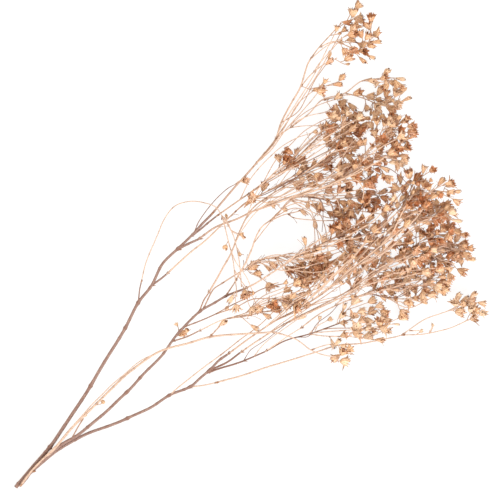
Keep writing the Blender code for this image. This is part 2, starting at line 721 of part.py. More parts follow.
def take_head(room, own, owner, tree, head):
    """Writes a settled head into the room and lets later stalks grow from its own."""
    parts, body = head_parts(head)
    for start, end, radius in parts:
        room.take(owner, start, end, radius)
        own["stalks"].append([*start, *end, radius])
    start, end, radius = body
    room.take(owner, start, end, radius)
    own["heads"].append([*start, *end, radius])
    root = head["root"]
    tree[:] = [spot for spot in tree if (spot[0] - root).length > ROOTS_APART]
    stalk = head["stalk"]
    fork_from = stalk[-2].lerp(stalk[-1], FORK_FROM)
    fork_to = stalk[-2].lerp(stalk[-1], FORK_TO)
    tree.extend(samples_of([fork_from, fork_to]))


def laid_routes(name, spec):
    """A node's routes in the part's frame; a spray's first one starts just past its seam."""
    routes = []
    for number, (start_radius, end_radius, places) in enumerate(spec):
        points = [lay(place) for place in places]
        if name in SPRAYS and number == 0:
            points[0] = points[0] + (points[1] - points[0]).normalized() * SEAM
        routes.append((start_radius, end_radius, points))
    return routes


def height_rule(spec):
    """Height of the nearest route of a node, over any place on the sheet."""
    knots = []
    for start_radius, end_radius, places in spec:
        for first, second in zip(places, places[1:]):
            for step in range(4):
                share = step / 4.0
                knots.append([a + (b - a) * share for a, b in zip(first, second)])
        knots.append(list(places[-1]))
    table = np.array(knots)

    def height(right, down):
        gaps = np.hypot(table[:, 0] - right, table[:, 1] - down)
        return float(table[int(gaps.argmin()), 2])

    return height


def wanted_heads(heads, start):
    """A node's own heads: those that the branch leans on first, then the nearest ones."""
    wanted = []
    for kind in ("low", "big", "star", "cup", "pod", "bud"):
        for place in heads.get(kind, []):
            away = math.hypot(place[0] - start[0], place[1] - start[1])
            wanted.append((kind != "low", away, kind, place))
    wanted.sort()
    return [(kind, place) for free_head, away, kind, place in wanted]


def start_plan(name, spec, seed):
    """A node before its heads grow: its routes, and where stalks may start."""
    routes = laid_routes(name, spec)
    tree = []
    own = dict(heads=[], stalks=[])
    for start_radius, end_radius, points in routes:
        tree.extend(samples_of(points))
        for first, second in zip(points, points[1:]):
            own["stalks"].append([*first, *second, end_radius])
    return dict(
        name=name, routes=routes, tree=tree, own=own, heads=[],
        heights=height_rule(spec), rng=random.Random(seed))


def add_head(plan, room, kind, place, crowns):
    """Grows one head on a node, if there is room for it."""
    name, tree, own, rng = plan["name"], plan["tree"], plan["own"], plan["rng"]
    if kind == "low":
        head = rest_head(tree, place, rng)
    else:
        head = settle_head(room, own, name, tree, kind, place, plan["heights"], rng)
    if head is None:
        return False
    take_head(room, own, name, tree, head)
    plan["heads"].append(head)
    crowns.append(place)
    return True


def fill_heads(plan, room, ellipses, crowns):
    """Heads by the rule: each goes to the emptiest of some places drawn in its ellipse."""
    rng = plan["rng"]
    for centre_right, centre_down, reach_right, reach_down, count in ellipses:
        grown = 0
        misses = 0
        while grown < count and misses < FILL_MISSES * count:
            best = None
            best_gap = -1.0
            for draw in range(FILL_DRAWS):
                turn = rng.uniform(0, 2 * math.pi)
                share = math.sqrt(rng.random())
                place = (centre_right + reach_right * share * math.cos(turn),
                         centre_down + reach_down * share * math.sin(turn))
                gap = min(math.hypot(place[0] - c[0], place[1] - c[1]) for c in crowns)
                if gap > best_gap:
                    best = place
                    best_gap = gap
            if add_head(plan, room, rng.choice(FILL_KINDS), best, crowns):
                grown += 1
            else:
                misses += 1


def loose(name, mesh, collection):
    """An object of one repeat, waiting in a collection to be joined."""
    piece = bpy.data.objects.new(name, mesh)
    collection.objects.link(piece)
    return piece


def drop_scraps(mesh):
    """Keeps the largest body of a joined mesh: scraps go, and sealed hollows are filled."""
    body = bmesh.new()
    body.from_mesh(mesh)
    left = set(body.verts)
    islands = []
    while left:
        first = left.pop()
        island = {first}
        reached = [first]
        while reached:
            vert = reached.pop()
            for edge in vert.link_edges:
                other = edge.other_vert(vert)
                if other in left:
                    left.remove(other)
                    island.add(other)
                    reached.append(other)
        islands.append(island)
    islands.sort(key=len, reverse=True)
    for island in islands[1:]:
        bmesh.ops.delete(body, geom=list(island), context="VERTS")
    bmesh.ops.triangulate(body, faces=body.faces)
    body.to_mesh(mesh)
    body.free()
    return len(islands) - 1


def apply_boolean(target, operation, solver, operand=None, collection=None):
    """Joins or cuts, and keeps the result as the object's own mesh."""
    modifier = target.modifiers.new("join", "BOOLEAN")
    modifier.operation = operation
    modifier.solver = solver
    if collection is not None:
        modifier.operand_type = "COLLECTION"
        modifier.collection = collection
    else:
        modifier.object = operand
    graph = bpy.context.evaluated_depsgraph_get()
    mesh = bpy.data.meshes.new_from_object(target.evaluated_get(graph))
    target.modifiers.remove(modifier)
    old = target.data
    target.data = mesh
    mesh.name = target.name
    bpy.data.meshes.remove(old)


def finish_of(name):
    """The material of one node."""
    red, green, blue, roughness = FINISHES[FINISH_OF.get(name, "tan_calyx")]
    material = bpy.data.materials.new(name + "_finish")
    material.use_nodes = True
    shader = material.node_tree.nodes["Principled BSDF"]
    shader.inputs["Base Color"].default_value = (red, green, blue, 1.0)
    shader.inputs["Roughness"].default_value = roughness
    shader.inputs["Metallic"].default_value = 0.0
    return material


def floor_slab(cutters):
    """The space under the sheet, which trims the low spots flat."""
    body = bmesh.new()
    bmesh.ops.create_cube(body, size=1.0)
    mesh = bpy.data.meshes.new("floor_slab")
    body.to_mesh(mesh)
    body.free()
    slab = bpy.data.objects.new("floor_slab", mesh)
    slab.scale = SLAB
    slab.location = (0.0, 0.0, -SLAB[2] / 2)
    slab.hide_render = True
    slab.display_type = "WIRE"
    cutters.objects.link(slab)
    return slab


def build_node(name, routes, heads, branch, repeats, profiles, slab):
    """One node: its routes, knobs and heads joined in one closed body."""
    node = None
    for number, (start_radius, end_radius, points) in enumerate(routes):
        sides = STEM_SIDES if start_radius > THICK_RADIUS else TWIG_SIDES
        mesh = tube_mesh(f"{name}_{number}", points, start_radius, end_radius, profiles[sides])
        if node is None:
            node = loose(name, mesh, branch)
        else:
            loose(f"{name}_{number}", mesh, repeats)
    for number, head in enumerate(heads):
        loose(f"head_{number}", head_mesh(f"head_{number}", head), repeats)
    apply_boolean(node, "UNION", "MANIFOLD", collection=repeats)
    for piece in list(repeats.objects):
        mesh = piece.data
        bpy.data.objects.remove(piece)
        bpy.data.meshes.remove(mesh)
    scraps = drop_scraps(node.data)
    lowest = min(vert.co.z for vert in node.data.vertices)
    if lowest < 0.0:
        apply_boolean(node, "DIFFERENCE", "MANIFOLD", operand=slab)
        scraps += drop_scraps(node.data)
    node.data.materials.clear()
    node.data.materials.append(finish_of(name))
    return scraps


def main():
    for old in list(bpy.data.objects):
        bpy.data.objects.remove(old)
    scene = bpy.context.scene
    branch = bpy.data.collections.new("gypsophila_stem")
    repeats = bpy.data.collections.new("repeats")
    cutters = bpy.data.collections.new("cutters")
    for collection in (branch, repeats, cutters):
        scene.collection.children.link(collection)
    slab = floor_slab(cutters)
    profiles = {sides: tube_profile(f"profile_{sides}", sides) for sides in CORNER_REACH}

    specs = {}
    for name, spec in STEMS.items():
        specs[name] = (spec, STEM_HEADS[name])
    for name, spray in SPRAYS.items():
        specs[name] = (spray["routes"], spray)

    room = Room()
    for name, (spec, heads) in specs.items():
        for start_radius, end_radius, points in laid_routes(name, spec):
            for start, end in zip(points, points[1:]):
                room.take(name, start, end, max(start_radius, end_radius))

    log = []
    crowns = []
    plans = {}
    for seed, (name, (spec, heads)) in enumerate(specs.items()):
        plan = start_plan(name, spec, seed)
        for kind, place in wanted_heads(heads, spec[0][2][0]):
            if not add_head(plan, room, kind, place, crowns):
                log.append((name, kind, place))
        plans[name] = plan
    for name, (spec, heads) in specs.items():
        fill_heads(plans[name], room, heads.get("fill", []), crowns)
    total = 0
    for name, plan in plans.items():
        heads = plan["heads"]
        scraps = build_node(name, plan["routes"], heads, branch, repeats, profiles, slab)
        mesh = branch.objects[name].data
        total += len(mesh.polygons)
        print(name, "heads", len(heads), "triangles", len(mesh.polygons), "scraps", scraps)
    bpy.data.collections.remove(repeats)
    for profile in profiles.values():
        bpy.data.objects.remove(profile)
    print("heads", sum(len(plan["heads"]) for plan in plans.values()), "triangles", total)
    print("left out", log)


main()
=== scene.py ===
# A dried gypsophila branch on a pale table, seen from straight above.
# Places are (right, down, height) in millimetres on a 500 mm sheet under the branch.

import math
import random

import bpy
import numpy as np
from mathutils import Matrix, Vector


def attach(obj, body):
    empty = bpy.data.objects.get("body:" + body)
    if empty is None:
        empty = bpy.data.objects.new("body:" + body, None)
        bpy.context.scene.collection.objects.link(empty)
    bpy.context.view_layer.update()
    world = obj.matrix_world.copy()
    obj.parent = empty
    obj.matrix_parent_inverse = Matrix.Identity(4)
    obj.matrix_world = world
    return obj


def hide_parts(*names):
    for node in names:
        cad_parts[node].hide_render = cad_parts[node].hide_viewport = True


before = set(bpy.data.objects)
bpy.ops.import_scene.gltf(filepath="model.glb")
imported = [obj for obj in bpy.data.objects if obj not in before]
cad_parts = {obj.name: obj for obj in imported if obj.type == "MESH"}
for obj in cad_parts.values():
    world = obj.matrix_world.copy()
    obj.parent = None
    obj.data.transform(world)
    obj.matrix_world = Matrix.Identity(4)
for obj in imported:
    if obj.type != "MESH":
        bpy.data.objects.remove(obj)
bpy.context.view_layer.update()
print("loaded", len(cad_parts), "stems and sprays")

mm = 0.001
anyTurn = 6.28    # random turns are drawn up to here, in radians

# how the sheet lies in the part's frame
sheet = dict(cutRight=14.5, cutDown=488.5, turn=math.radians(38.0), centreX=287.4, centreY=9.1)

# how stalks and heads grow on the twigs
growth = dict(
    seam=0.3, stalk=0.45, rootsApart=2.5, rootStep=4.0, forkFrom=0.4, forkTo=0.75,
    stalkMin=7.0, stalkShort=4.2, stalkBent=30.0, stalkSink=0.25, stalkLead=0.5, stalkFree=0.4,
    backward=1.1, scaleLow=0.88, scaleHigh=1.12, middle=0.45, lean=0.35, flatDepth=0.5,
    slack=1.02, overStalk=0.9, endSink=0.5, clearance=0.6, ownClearance=0.15, lowest=2.2,
    stalkLowest=0.7, highest=104.0, spread=9.0, spreadGrowth=2.0, drift=0.5, driftGrowth=2.5,
    tries=60, draws=14, misses=3, fillKinds=("cup", "cup", "cup", "cup", "star", "pod"),
    gaps=())

# the kinds of head, in mm and shares of their length and belly; teeth narrow by their power,
# and part over this share of the head
headKinds = {
    "cup": dict(length=10.5, width=6.8, foot=1.7, flare=1.12, mouth=0.36, power=1.7, teeth=0.27),
    "star": dict(length=9.0, width=6.6, foot=1.7, flare=1.72, mouth=0.30, power=1.9, teeth=0.52),
    "big": dict(length=13.0, width=8.6, foot=2.1, flare=1.14, mouth=0.38, power=1.6, teeth=0.24),
    "pod": dict(length=12.0, width=4.4, foot=1.4, flare=0.42, mouth=0.66, power=1.0, teeth=0.3),
    "bud": dict(length=5.6, width=4.0, foot=1.3, flare=0.45, mouth=0.62, power=0.9, teeth=0.35),
}

# Stems. Each is a set of routes: the first is its trunk and the others grow out of it. A route is
# (radius at its start, radius at its end, points).
stems = {
    "main_stem": [
        (2.1, 0.95, [(14.5, 488.5, 2.0), (31, 469, 3.4), (49, 448, 6), (60, 432, 8.2),
            (77, 407, 11.5), (90, 386, 14), (108, 356, 17.5), (125, 328, 21.5), (138, 303, 24.5),
            (151, 286, 27), (162, 264.5, 29.8), (178, 248.5, 33), (192, 235, 35.8),
            (203, 223, 39), (211, 215, 42)]),
        (0.9, 0.7, [(190.5, 236.5, 35.4), (200, 229.5, 34.5), (216, 216.5, 34)]),
        (0.7, 0.42, [(194, 233, 36.3), (199, 221, 41), (212, 204, 46), (227, 189, 51),
            (237, 183.5, 53)]),
        (1.1, 0.95, [(177, 249.5, 32.8), (188, 244, 35), (198, 239.5, 37)]),
        (0.9, 0.8, [(151, 286, 27), (158, 281, 26), (166, 274.5, 25)]),
        (0.55, 0.5, [(138, 303, 24.5), (139, 292, 29), (141, 283, 33)])],
    "second_stem": [
        (1.45, 0.7, [(21, 484.5, 5.4), (30, 473, 6.9), (42, 461, 8.9), (60, 446, 11),
            (78, 435, 13), (100, 417, 16), (126, 393, 19.5), (140, 378, 21.5), (162, 355, 25.5),
            (180, 331, 29), (200, 311.5, 33), (215, 302.5, 35), (226, 296, 37), (236, 292, 39),
            (244, 289, 40.5)]),
        (1.1, 0.7, [(41, 462, 8.8), (55, 448, 12), (70, 430, 16.5), (90, 410, 22),
            (112, 388.5, 27), (132, 370, 32), (158, 352.5, 37.5), (190, 342.5, 42),
            (210, 337, 44), (240, 334, 46), (258, 333, 46.5), (272, 332, 46)]),
        (1.25, 0.7, [(30, 473, 6.9), (47, 458.5, 7.2), (60, 449, 7.4), (83, 436, 8),
            (107, 427, 9), (127, 419, 10.5), (150, 408, 12.5), (169, 396, 14.5), (190, 387, 17),
            (200, 378.5, 18.5), (210, 370, 20), (219, 360.5, 23), (227, 355, 25)]),
        (0.5, 0.42, [(210, 337, 44), (215, 331, 46), (220, 326, 48)]),
        (0.9, 0.8, [(199, 312.5, 32.8), (204, 300, 35), (208, 294, 36)]),
        (0.75, 0.65, [(203, 309.5, 33.5), (213, 290, 31), (221, 284, 29)]),
        (0.75, 0.7, [(226, 296, 37), (231, 288, 38), (235, 282, 38.5)]),
        (0.6, 0.5, [(172, 341.5, 27.4), (186, 337, 31), (198, 331.5, 34)]),
        (0.55, 0.42, [(184, 327, 29.8), (205, 319, 36), (218, 313, 39)]),
        (0.8, 0.7, [(209, 371, 19.8), (226, 363, 21.5), (240, 353, 22.5)]),
        (0.8, 0.7, [(207, 373, 19.5), (226, 367, 17.5), (243, 361.5, 16)]),
        (0.9, 0.8, [(189, 387.5, 16.9), (202, 386, 15), (214, 383.5, 13.5)]),
        (0.5, 0.42, [(169, 396, 14.5), (180, 386, 20), (200, 370.5, 28), (222, 354, 33)]),
        (0.5, 0.42, [(71, 439.5, 12.2), (78, 427, 14), (83, 419, 15.5)])],
}

# swollen nodes: the places on the trunks and their forks where the tube is thicker
knobs = [
    (49, 448, 6.0), (90, 386, 14.0), (125, 328, 21.5), (138, 303, 24.5), (178, 248.5, 33.0),
    (42, 461, 8.9), (126, 393, 19.5), (140, 378, 21.5), (180, 331, 29), (200, 311.5, 33),
    (127, 419, 10.5), (169, 396, 14.5), (190, 387, 17), (210, 370, 20), (226, 296, 37),
    (210, 337, 44)]

# heads that grow straight from the stems
stemHeads = {
    "main_stem": dict(star=[(244, 181)]),
    "second_stem": dict(
        bud=[(103, 402), (176, 324), (187, 330), (84, 416)], cup=[(182, 334)],
        pod=[(224, 322)])}

# Sprays. The first route goes on from a stem or from another spray; the others grow out of
# routes of the same spray. A route may end free, or at the start of another spray. Each kind of
# head has its places; fill adds heads in an ellipse (right, down, reach right, reach down, count).
sprays = {
    "top_spray": dict(
        routes=[
            (0.95, 0.6, [(211, 215, 42), (236, 186, 49), (260, 159, 54), (275, 140, 56),
                (281, 123, 58), (291, 104, 60), (300, 88, 62), (307, 66, 64), (310, 60, 65)]),
            (0.5, 0.42, [(310, 60, 65), (319, 48, 68), (331, 34.5, 70), (341, 24, 66)]),
            (0.5, 0.42, [(319, 48, 68), (334, 42, 73), (351, 44, 76)]),
            (0.5, 0.42, [(300, 88, 62), (311, 75, 56), (325, 64, 50), (337, 58, 45)]),
            (0.55, 0.5, [(275, 140, 56), (282, 133.5, 54), (290, 128, 52)])],
        cup=[(357, 6), (353, 13), (358, 19), (347, 24), (351, 40), (360, 35), (368, 37),
            (376, 35), (362, 46), (345, 53), (349, 58), (342, 78)],
        star=[(367, 26), (320, 91)],
        pod=[(330, 57), (377, 43), (362, 62), (338, 84)],
        bud=[(339, 34), (341, 43), (348, 64)],
        big=[(362, 52)],
        fill=[(357, 40, 20, 30, 4)]),
    "top_side_spray": dict(
        routes=[
            (0.5, 0.45, [(290, 128, 52), (310, 113, 48), (322, 100, 45), (345, 93, 43),
                (360, 82, 44), (372, 78, 45)]),
            (0.5, 0.42, [(345, 93, 43), (364, 98, 24), (381, 105, 8.5)]),
            (0.5, 0.42, [(322, 100, 45), (336, 98, 38), (348, 100, 33)])],
        cup=[(384, 78), (391, 82), (380, 91), (397, 93), (356, 95), (341, 103), (390, 98),
            (399, 103), (369, 96)],
        star=[(377, 105)],
        pod=[(387, 71), (401, 79), (408, 99), (353, 107)],
        low=[(393, 109)],
        fill=[(385, 90, 20, 15, 6)]),
    "crown_spray": dict(
        routes=[
            (0.7, 0.6, [(216, 216.5, 34), (240, 199.5, 36), (264, 183, 39), (287, 168, 42),
                (300, 155, 45), (318, 138, 49), (334, 128, 52), (350, 120, 53)]),
            (0.5, 0.42, [(287, 168, 42), (310, 160, 40), (330, 150, 37), (340, 144, 35)]),
            (0.5, 0.42, [(264, 183, 39), (276, 171, 44), (284, 164, 47)])],
        cup=[(279, 158), (285, 162), (296, 153), (300, 161), (292, 165), (331, 116), (335, 119),
            (338, 136), (345, 128), (360, 128), (358, 135), (352, 148), (322, 128)],
        star=[(329, 129)],
        pod=[(346, 110), (366, 118)],
        fill=[(343, 127, 20, 20, 7), (290, 160, 12, 9, 2)]),
    "upper_spray": dict(
        routes=[
            (0.95, 0.5, [(198, 239.5, 37), (216, 227, 41), (238, 218.5, 47), (253, 211.5, 52),
                (273, 204.5, 57), (300, 195, 62), (325, 187, 66), (352, 172, 70), (365, 165, 72),
                (380, 163, 73), (393, 152, 74)]),
            (0.5, 0.42, [(352, 172, 70), (366, 152, 74), (380, 137, 76), (398, 129, 76)]),
            (0.5, 0.42, [(300, 195, 62), (325, 184, 61), (345, 180, 62), (362, 181, 63)])],
        cup=[(371, 127), (384, 123), (397, 122), (404, 121), (411, 127), (412, 133), (400, 131),
            (374, 135), (384, 143), (390, 155), (355, 165), (360, 160), (366, 183), (398, 165)],
        star=[(374, 179)],
        pod=[(405, 157), (372, 147)],
        fill=[(388, 140, 25, 20, 11), (372, 170, 22, 14, 6)]),
    "pale_spray": dict(
        routes=[
            (0.8, 0.45, [(166, 274.5, 25), (192, 251, 26), (204, 241.5, 27), (217, 229.5, 29),
                (240, 207.5, 33), (252, 199, 35), (270, 190, 37), (292, 177, 39),
                (312, 167, 40)]),
            (0.5, 0.42, [(252, 199, 35), (268, 203, 30), (280, 205, 27)])],
        cup=[(264, 188), (272, 204), (298, 185), (310, 177), (327, 160)],
        star=[(251, 197), (330, 168)],
        pod=[(285, 209), (313, 186)],
        bud=[(226, 216)],
        fill=[(318, 174, 20, 13, 3)]),
    "twig_loop": dict(
        routes=[
            (0.5, 0.42, [(141, 283, 33), (145, 266, 40), (151, 250, 47), (159, 232, 55),
                (163, 222, 59), (168, 213.5, 62), (173, 208, 64), (180, 204, 65.5),
                (193, 201.3, 66.5), (205, 203, 66), (216, 207.5, 64), (222, 216, 61)]),
            (0.5, 0.42, [(222, 216, 61), (227, 235, 56), (231, 251, 52), (234, 268, 48.5),
                (236, 284, 46), (237, 297, 44)]),
            (0.5, 0.42, [(222, 216, 61), (232, 232, 60), (237, 249, 57.5), (240, 268, 53),
                (241.5, 287, 49)])],
        cup=[(245, 294)],
        star=[(237, 309), (252, 310)],
        pod=[(231, 300)],
        bud=[(227, 308), (242, 235), (226, 247), (240, 254)]),
    "middle_pale_spray": dict(
        routes=[
            (0.8, 0.42, [(208, 294, 36), (220, 273, 37), (230, 255, 38), (240, 231, 39),
                (249, 213, 41), (264, 199, 44), (282, 188, 47), (300, 176, 50), (322, 163, 55),
                (338, 152, 59)]),
            (0.5, 0.42, [(264, 199, 44), (280, 196, 49), (296, 188, 54)])],
        cup=[(312, 184), (343, 143), (349, 157), (318, 177), (336, 178)],
        star=[(340, 166)],
        pod=[(300, 172)],
        fill=[(345, 165, 20, 20, 7)]),
    "middle_dark_spray": dict(
        routes=[
            (0.7, 0.45, [(235, 282, 38.5), (246, 262, 36), (252, 248, 35), (255, 239, 34.5),
                (262, 227, 34), (276, 216, 34), (290, 200, 35), (308, 197, 37), (330, 199, 40),
                (352, 197, 43), (370, 196, 45)]),
            (0.5, 0.42, [(270, 221, 34), (284, 215, 30), (300, 211, 27)]),
            (0.5, 0.42, [(308, 197, 37), (315, 206, 33), (318, 216, 30)])],
        cup=[(348, 196), (342, 203), (322, 206), (366, 197), (331, 213), (357, 207)],
        star=[(377, 208), (329, 191)],
        pod=[(308, 205), (383, 192), (315, 224), (304, 212)],
        fill=[(357, 204, 36, 17, 14)]),
    "arch_spray": dict(
        routes=[
            (0.6, 0.42, [(221, 284, 29), (243, 270, 25), (257, 261.5, 22), (275, 257, 19.5),
                (293, 256, 17.5), (310, 258, 16.5), (326, 262, 16)]),
            (0.5, 0.42, [(275, 257, 19.5), (288, 268, 15), (300, 277, 12)])],
        cup=[(252, 267), (257, 274), (271, 263), (297, 282), (304, 277), (310, 272), (317, 270),
            (335, 262), (315, 250), (308, 254), (343, 258)],
        star=[(289, 269), (270, 286), (327, 267)],
        pod=[(268, 268), (300, 262)],
        fill=[(316, 268, 34, 13, 8)]),
    "inner_spray": dict(
        routes=[
            (0.7, 0.45, [(244, 289, 40.5), (256, 283, 42), (275, 271, 43), (293, 259, 45),
                (315, 247, 48), (336, 237, 51), (356, 229, 54), (374, 228, 56)]),
            (0.5, 0.42, [(315, 247, 48), (328, 246, 44), (342, 247, 41)]),
            (0.5, 0.42, [(336, 237, 51), (352, 243, 49), (368, 249, 49), (384, 250, 50)])],
        cup=[(344, 222), (356, 226), (357, 238), (353, 247), (367, 238), (333, 229)],
        star=[(323, 240), (385, 240)],
        pod=[(370, 218), (305, 240)],
        fill=[(366, 236, 32, 18, 15)]),
    "side_spray": dict(
        routes=[
            (0.5, 0.42, [(198, 331.5, 34), (220, 321, 37), (246, 313, 39), (268, 304, 39),
                (288, 296, 38), (300, 290, 37)])],
        cup=[(286, 290), (304, 285), (275, 309), (298, 301)],
        star=[(296, 309)],
        pod=[(255, 328), (268, 316)],
        fill=[(295, 300, 13, 12, 3)]),
    "right_high_spray": dict(
        routes=[
            (0.7, 0.5, [(227, 355, 25), (250, 338, 30), (275, 321, 35), (300, 308, 40),
                (330, 288, 49), (356, 266, 58), (380, 245, 65), (400, 229, 69), (420, 219, 72),
                (438, 212, 74)]),
            (0.5, 0.42, [(380, 245, 65), (390, 228, 70), (402, 213, 75), (420, 199, 79),
                (434, 190, 81)]),
            (0.5, 0.42, [(402, 213, 75), (406, 198, 72), (412, 186, 70)])],
        cup=[(408, 174), (424, 184), (439, 195), (428, 188), (447, 205), (425, 205), (405, 204),
            (420, 201), (435, 221), (440, 214), (393, 199)],
        star=[(417, 178), (451, 212)],
        pod=[(440, 181), (456, 192), (457, 221), (414, 212)],
        fill=[(425, 196, 33, 27, 17)]),
    "right_middle_spray": dict(
        routes=[
            (0.7, 0.5, [(240, 353, 22.5), (262, 338, 25), (285, 324, 28), (318, 307, 32),
                (350, 290, 36), (375, 273, 39), (400, 259, 41), (425, 251, 41), (445, 246, 39)]),
            (0.5, 0.42, [(400, 259, 41), (418, 243, 46), (436, 234, 51), (450, 230, 54)]),
            (0.5, 0.42, [(425, 251, 41), (439, 250, 24), (453, 247, 8.5)]),
            (0.5, 0.42, [(425, 251, 41), (440, 259, 38), (455, 264, 36)])],
        cup=[(457, 231), (464, 235), (458, 239), (438, 240), (408, 241), (420, 237), (406, 252),
            (415, 249), (420, 262), (411, 261), (427, 260), (456, 257), (462, 271), (450, 277),
            (440, 270)],
        star=[(450, 245), (427, 254)],
        pod=[(472, 259), (471, 249), (430, 226)],
        low=[(465, 245)],
        fill=[(438, 247, 36, 22, 18)]),
    "right_low_spray": dict(
        routes=[
            (0.55, 0.42, [(300, 329, 19), (320, 314, 20), (335, 306, 20.5), (352, 299, 21),
                (368, 293, 22), (390, 285, 24), (412, 281, 26), (430, 279, 27)]),
            (0.5, 0.42, [(368, 293, 22), (390, 298, 19), (408, 299, 18), (425, 294, 18)]),
            (0.5, 0.42, [(352, 299, 21), (366, 283, 27), (378, 268, 31), (390, 256, 33)])],
        cup=[(400, 272), (415, 271), (447, 284), (430, 283), (437, 289), (425, 291), (433, 295),
            (416, 297), (410, 302), (400, 284), (388, 274), (376, 283)],
        star=[(403, 313), (380, 290)],
        pod=[(355, 287), (443, 276)],
        fill=[(415, 284, 36, 19, 13), (383, 264, 22, 20, 9)]),
    "lower_spray": dict(
        routes=[
            (0.7, 0.5, [(243, 361.5, 16.5), (265, 352, 14), (284, 341.5, 12.5), (309, 334.5, 11),
                (333, 326, 10.5), (350, 320, 10.5)]),
            (0.5, 0.42, [(265, 352, 14), (284, 339, 17), (300, 329, 19)]),
            (0.5, 0.42, [(309, 334.5, 11), (336, 337, 10), (352, 336, 10)])],
        cup=[(354, 316), (362, 311), (372, 312), (380, 305), (385, 313), (370, 322), (345, 335),
            (358, 334), (367, 335), (381, 340), (356, 301)],
        star=[(389, 331)],
        pod=[(334, 345), (345, 307)],
        bud=[(320, 318)],
        fill=[(367, 318, 25, 19, 10)]),
    "drooping_spray": dict(
        routes=[
            (0.7, 0.42, [(272, 332, 46), (285, 335, 45), (297, 340, 42.5), (311, 350, 38),
                (325, 355.5, 33), (338, 357, 28)]),
            (0.5, 0.42, [(311, 350, 38), (322, 346, 36), (333, 344, 34)])],
        cup=[(350, 350), (344, 361)],
        star=[(343, 352)],
        pod=[(338, 341)],
        fill=[(343, 352, 9, 8, 2)]),
    "low_tip_spray": dict(
        routes=[
            (0.8, 0.5, [(214, 383.5, 13.5), (240, 376.5, 11), (268, 367.5, 9.5), (292, 360, 8.5),
                (318, 352, 8), (338, 346, 8), (363, 343.5, 8.5), (395, 337.5, 10),
                (402, 335.5, 10.5)]),
            (0.5, 0.42, [(402, 335.5, 10.5), (425, 320, 14), (440, 314, 17), (458, 308, 20)]),
            (0.5, 0.42, [(402, 335.5, 10.5), (428, 334, 12), (450, 328.5, 14), (465, 322, 17)]),
            (0.5, 0.42, [(410, 331, 11.5), (421, 331, 13)]),
            (0.5, 0.42, [(430, 333.5, 12), (433, 326, 13)])],
        cup=[(456, 303), (472, 302), (483, 303), (477, 310), (483, 313), (461, 312)],
        star=[(475, 318)],
        pod=[(459, 297), (474, 294)],
        bud=[(422, 331.5), (433, 325)],
        fill=[(471, 307, 14, 11, 3)]),
}


# A place on the sheet, in millimetres in the part's frame
def lay(place):
    right = place[0] - sheet["cutRight"]
    up = sheet["cutDown"] - place[1]
    x = right * math.cos(sheet["turn"]) + up * math.sin(sheet["turn"]) - sheet["centreX"]
    y = up * math.cos(sheet["turn"]) - right * math.sin(sheet["turn"]) - sheet["centreY"]
    return Vector((x, y, place[2]))


# Smallest distance from one segment to each of a table of segments
def segmentGap(start, end, others):
    p, q = np.array(start), np.array(end)
    a, b = others[:, 0:3], others[:, 3:6]
    line, own = b - a, q - p
    length = np.maximum((line * line).sum(axis=1), 1e-9)
    ownLength = max(float(own @ own), 1e-9)
    best = np.full(len(others), 1e9)
    for point in p + np.outer(np.linspace(0.0, 1.0, 5), own):
        share = np.clip(((point - a) * line).sum(axis=1) / length, 0.0, 1.0)
        best = np.minimum(best, np.linalg.norm(a + share[:, None] * line - point, axis=1))
    for ends in (a, b):
        share = np.clip(((ends - p) @ own) / ownLength, 0.0, 1.0)
        best = np.minimum(best, np.linalg.norm(p + share[:, None] * own - ends, axis=1))
    return best


# Room between one segment and a table of segments
def gapTo(table, start, end, radius):
    if len(table) == 0:
        return 1e9
    rows = np.asarray(table)
    return float((segmentGap(start, end, rows) - rows[:, 6]).min()) - radius


# The space that each node's stems, twigs and heads take up
class Room:

    def __init__(self):
        self.rows, self.owners, self.table = [], [], None

    def take(self, owner, start, end, radius):
        self.rows.append([*start, *end, radius])
        self.owners.append(owner)
        self.table = None

    # How much room other nodes leave round a segment, beyond the clearance
    def free(self, owner, start, end, radius):
        if self.table is None:
            self.table, self.names = np.array(self.rows), np.array(self.owners)
        others = self.table[self.names != owner]
        return gapTo(others, start, end, radius) - growth["clearance"]


# Places along a route that a stalk may grow from, with the direction there
def samplesOf(points):
    found = []
    for start, end in zip(points, points[1:]):
        direction = (end - start).normalized()
        count = max(1, int((end - start).length / growth["rootStep"]))
        found += [(start.lerp(end, (step + 0.5) / count), direction) for step in range(count)]
    return found


# The best place on the twigs so far for the stalk of a head: near, and not behind it
def growStalk(tree, target):
    def cost(spot):
        way = target - spot[0]
        return way.length * (1.0 + growth["backward"] * (1.0 - way.dot(spot[1]) / way.length))

    return min((spot for spot in tree if (target - spot[0]).length >= growth["stalkMin"]),
               key=cost)


def jitter(rng):
    return Vector((rng.uniform(-1, 1), rng.uniform(-1, 1), rng.uniform(-1, 1)))


# A head at a place: its stalk's points, its foot and its axis
def forkHead(tree, kind, target, scale, rng):
    size = headKinds[kind]["length"] * scale
    place, direction = growStalk(tree, target)
    way = (target - place).normalized()
    axis = (way + jitter(rng) * growth["lean"]).normalized()
    foot = target - axis * size * growth["middle"]
    if (foot - place).length < growth["stalkShort"]:
        foot = place + way * growth["stalkShort"]
    stalk = [place - direction * growth["stalkSink"]]
    if (foot - place).length > growth["stalkBent"]:
        lead = (way + direction * growth["stalkLead"]).normalized()
        stalk.append(stalk[0] + lead * (foot - stalk[0]).length * 0.5)
    stalk.append(foot)
    return dict(kind=kind, stalk=stalk, foot=foot, axis=axis, scale=scale, root=place)


# The segments that a head's stalk fills, and the one that its bell fills
def headParts(head):
    kind = headKinds[head["kind"]]
    width = kind["width"] * 0.5 * head["scale"]
    tip = head["foot"] + head["axis"] * (kind["length"] * head["scale"])
    middle = head["foot"].lerp(tip, growth["middle"])
    stalks = [(start, end, growth["stalk"]) for start, end in zip(head["stalk"], head["stalk"][1:])]
    return stalks, (middle, tip, max(width, width * kind["flare"]) * growth["slack"])


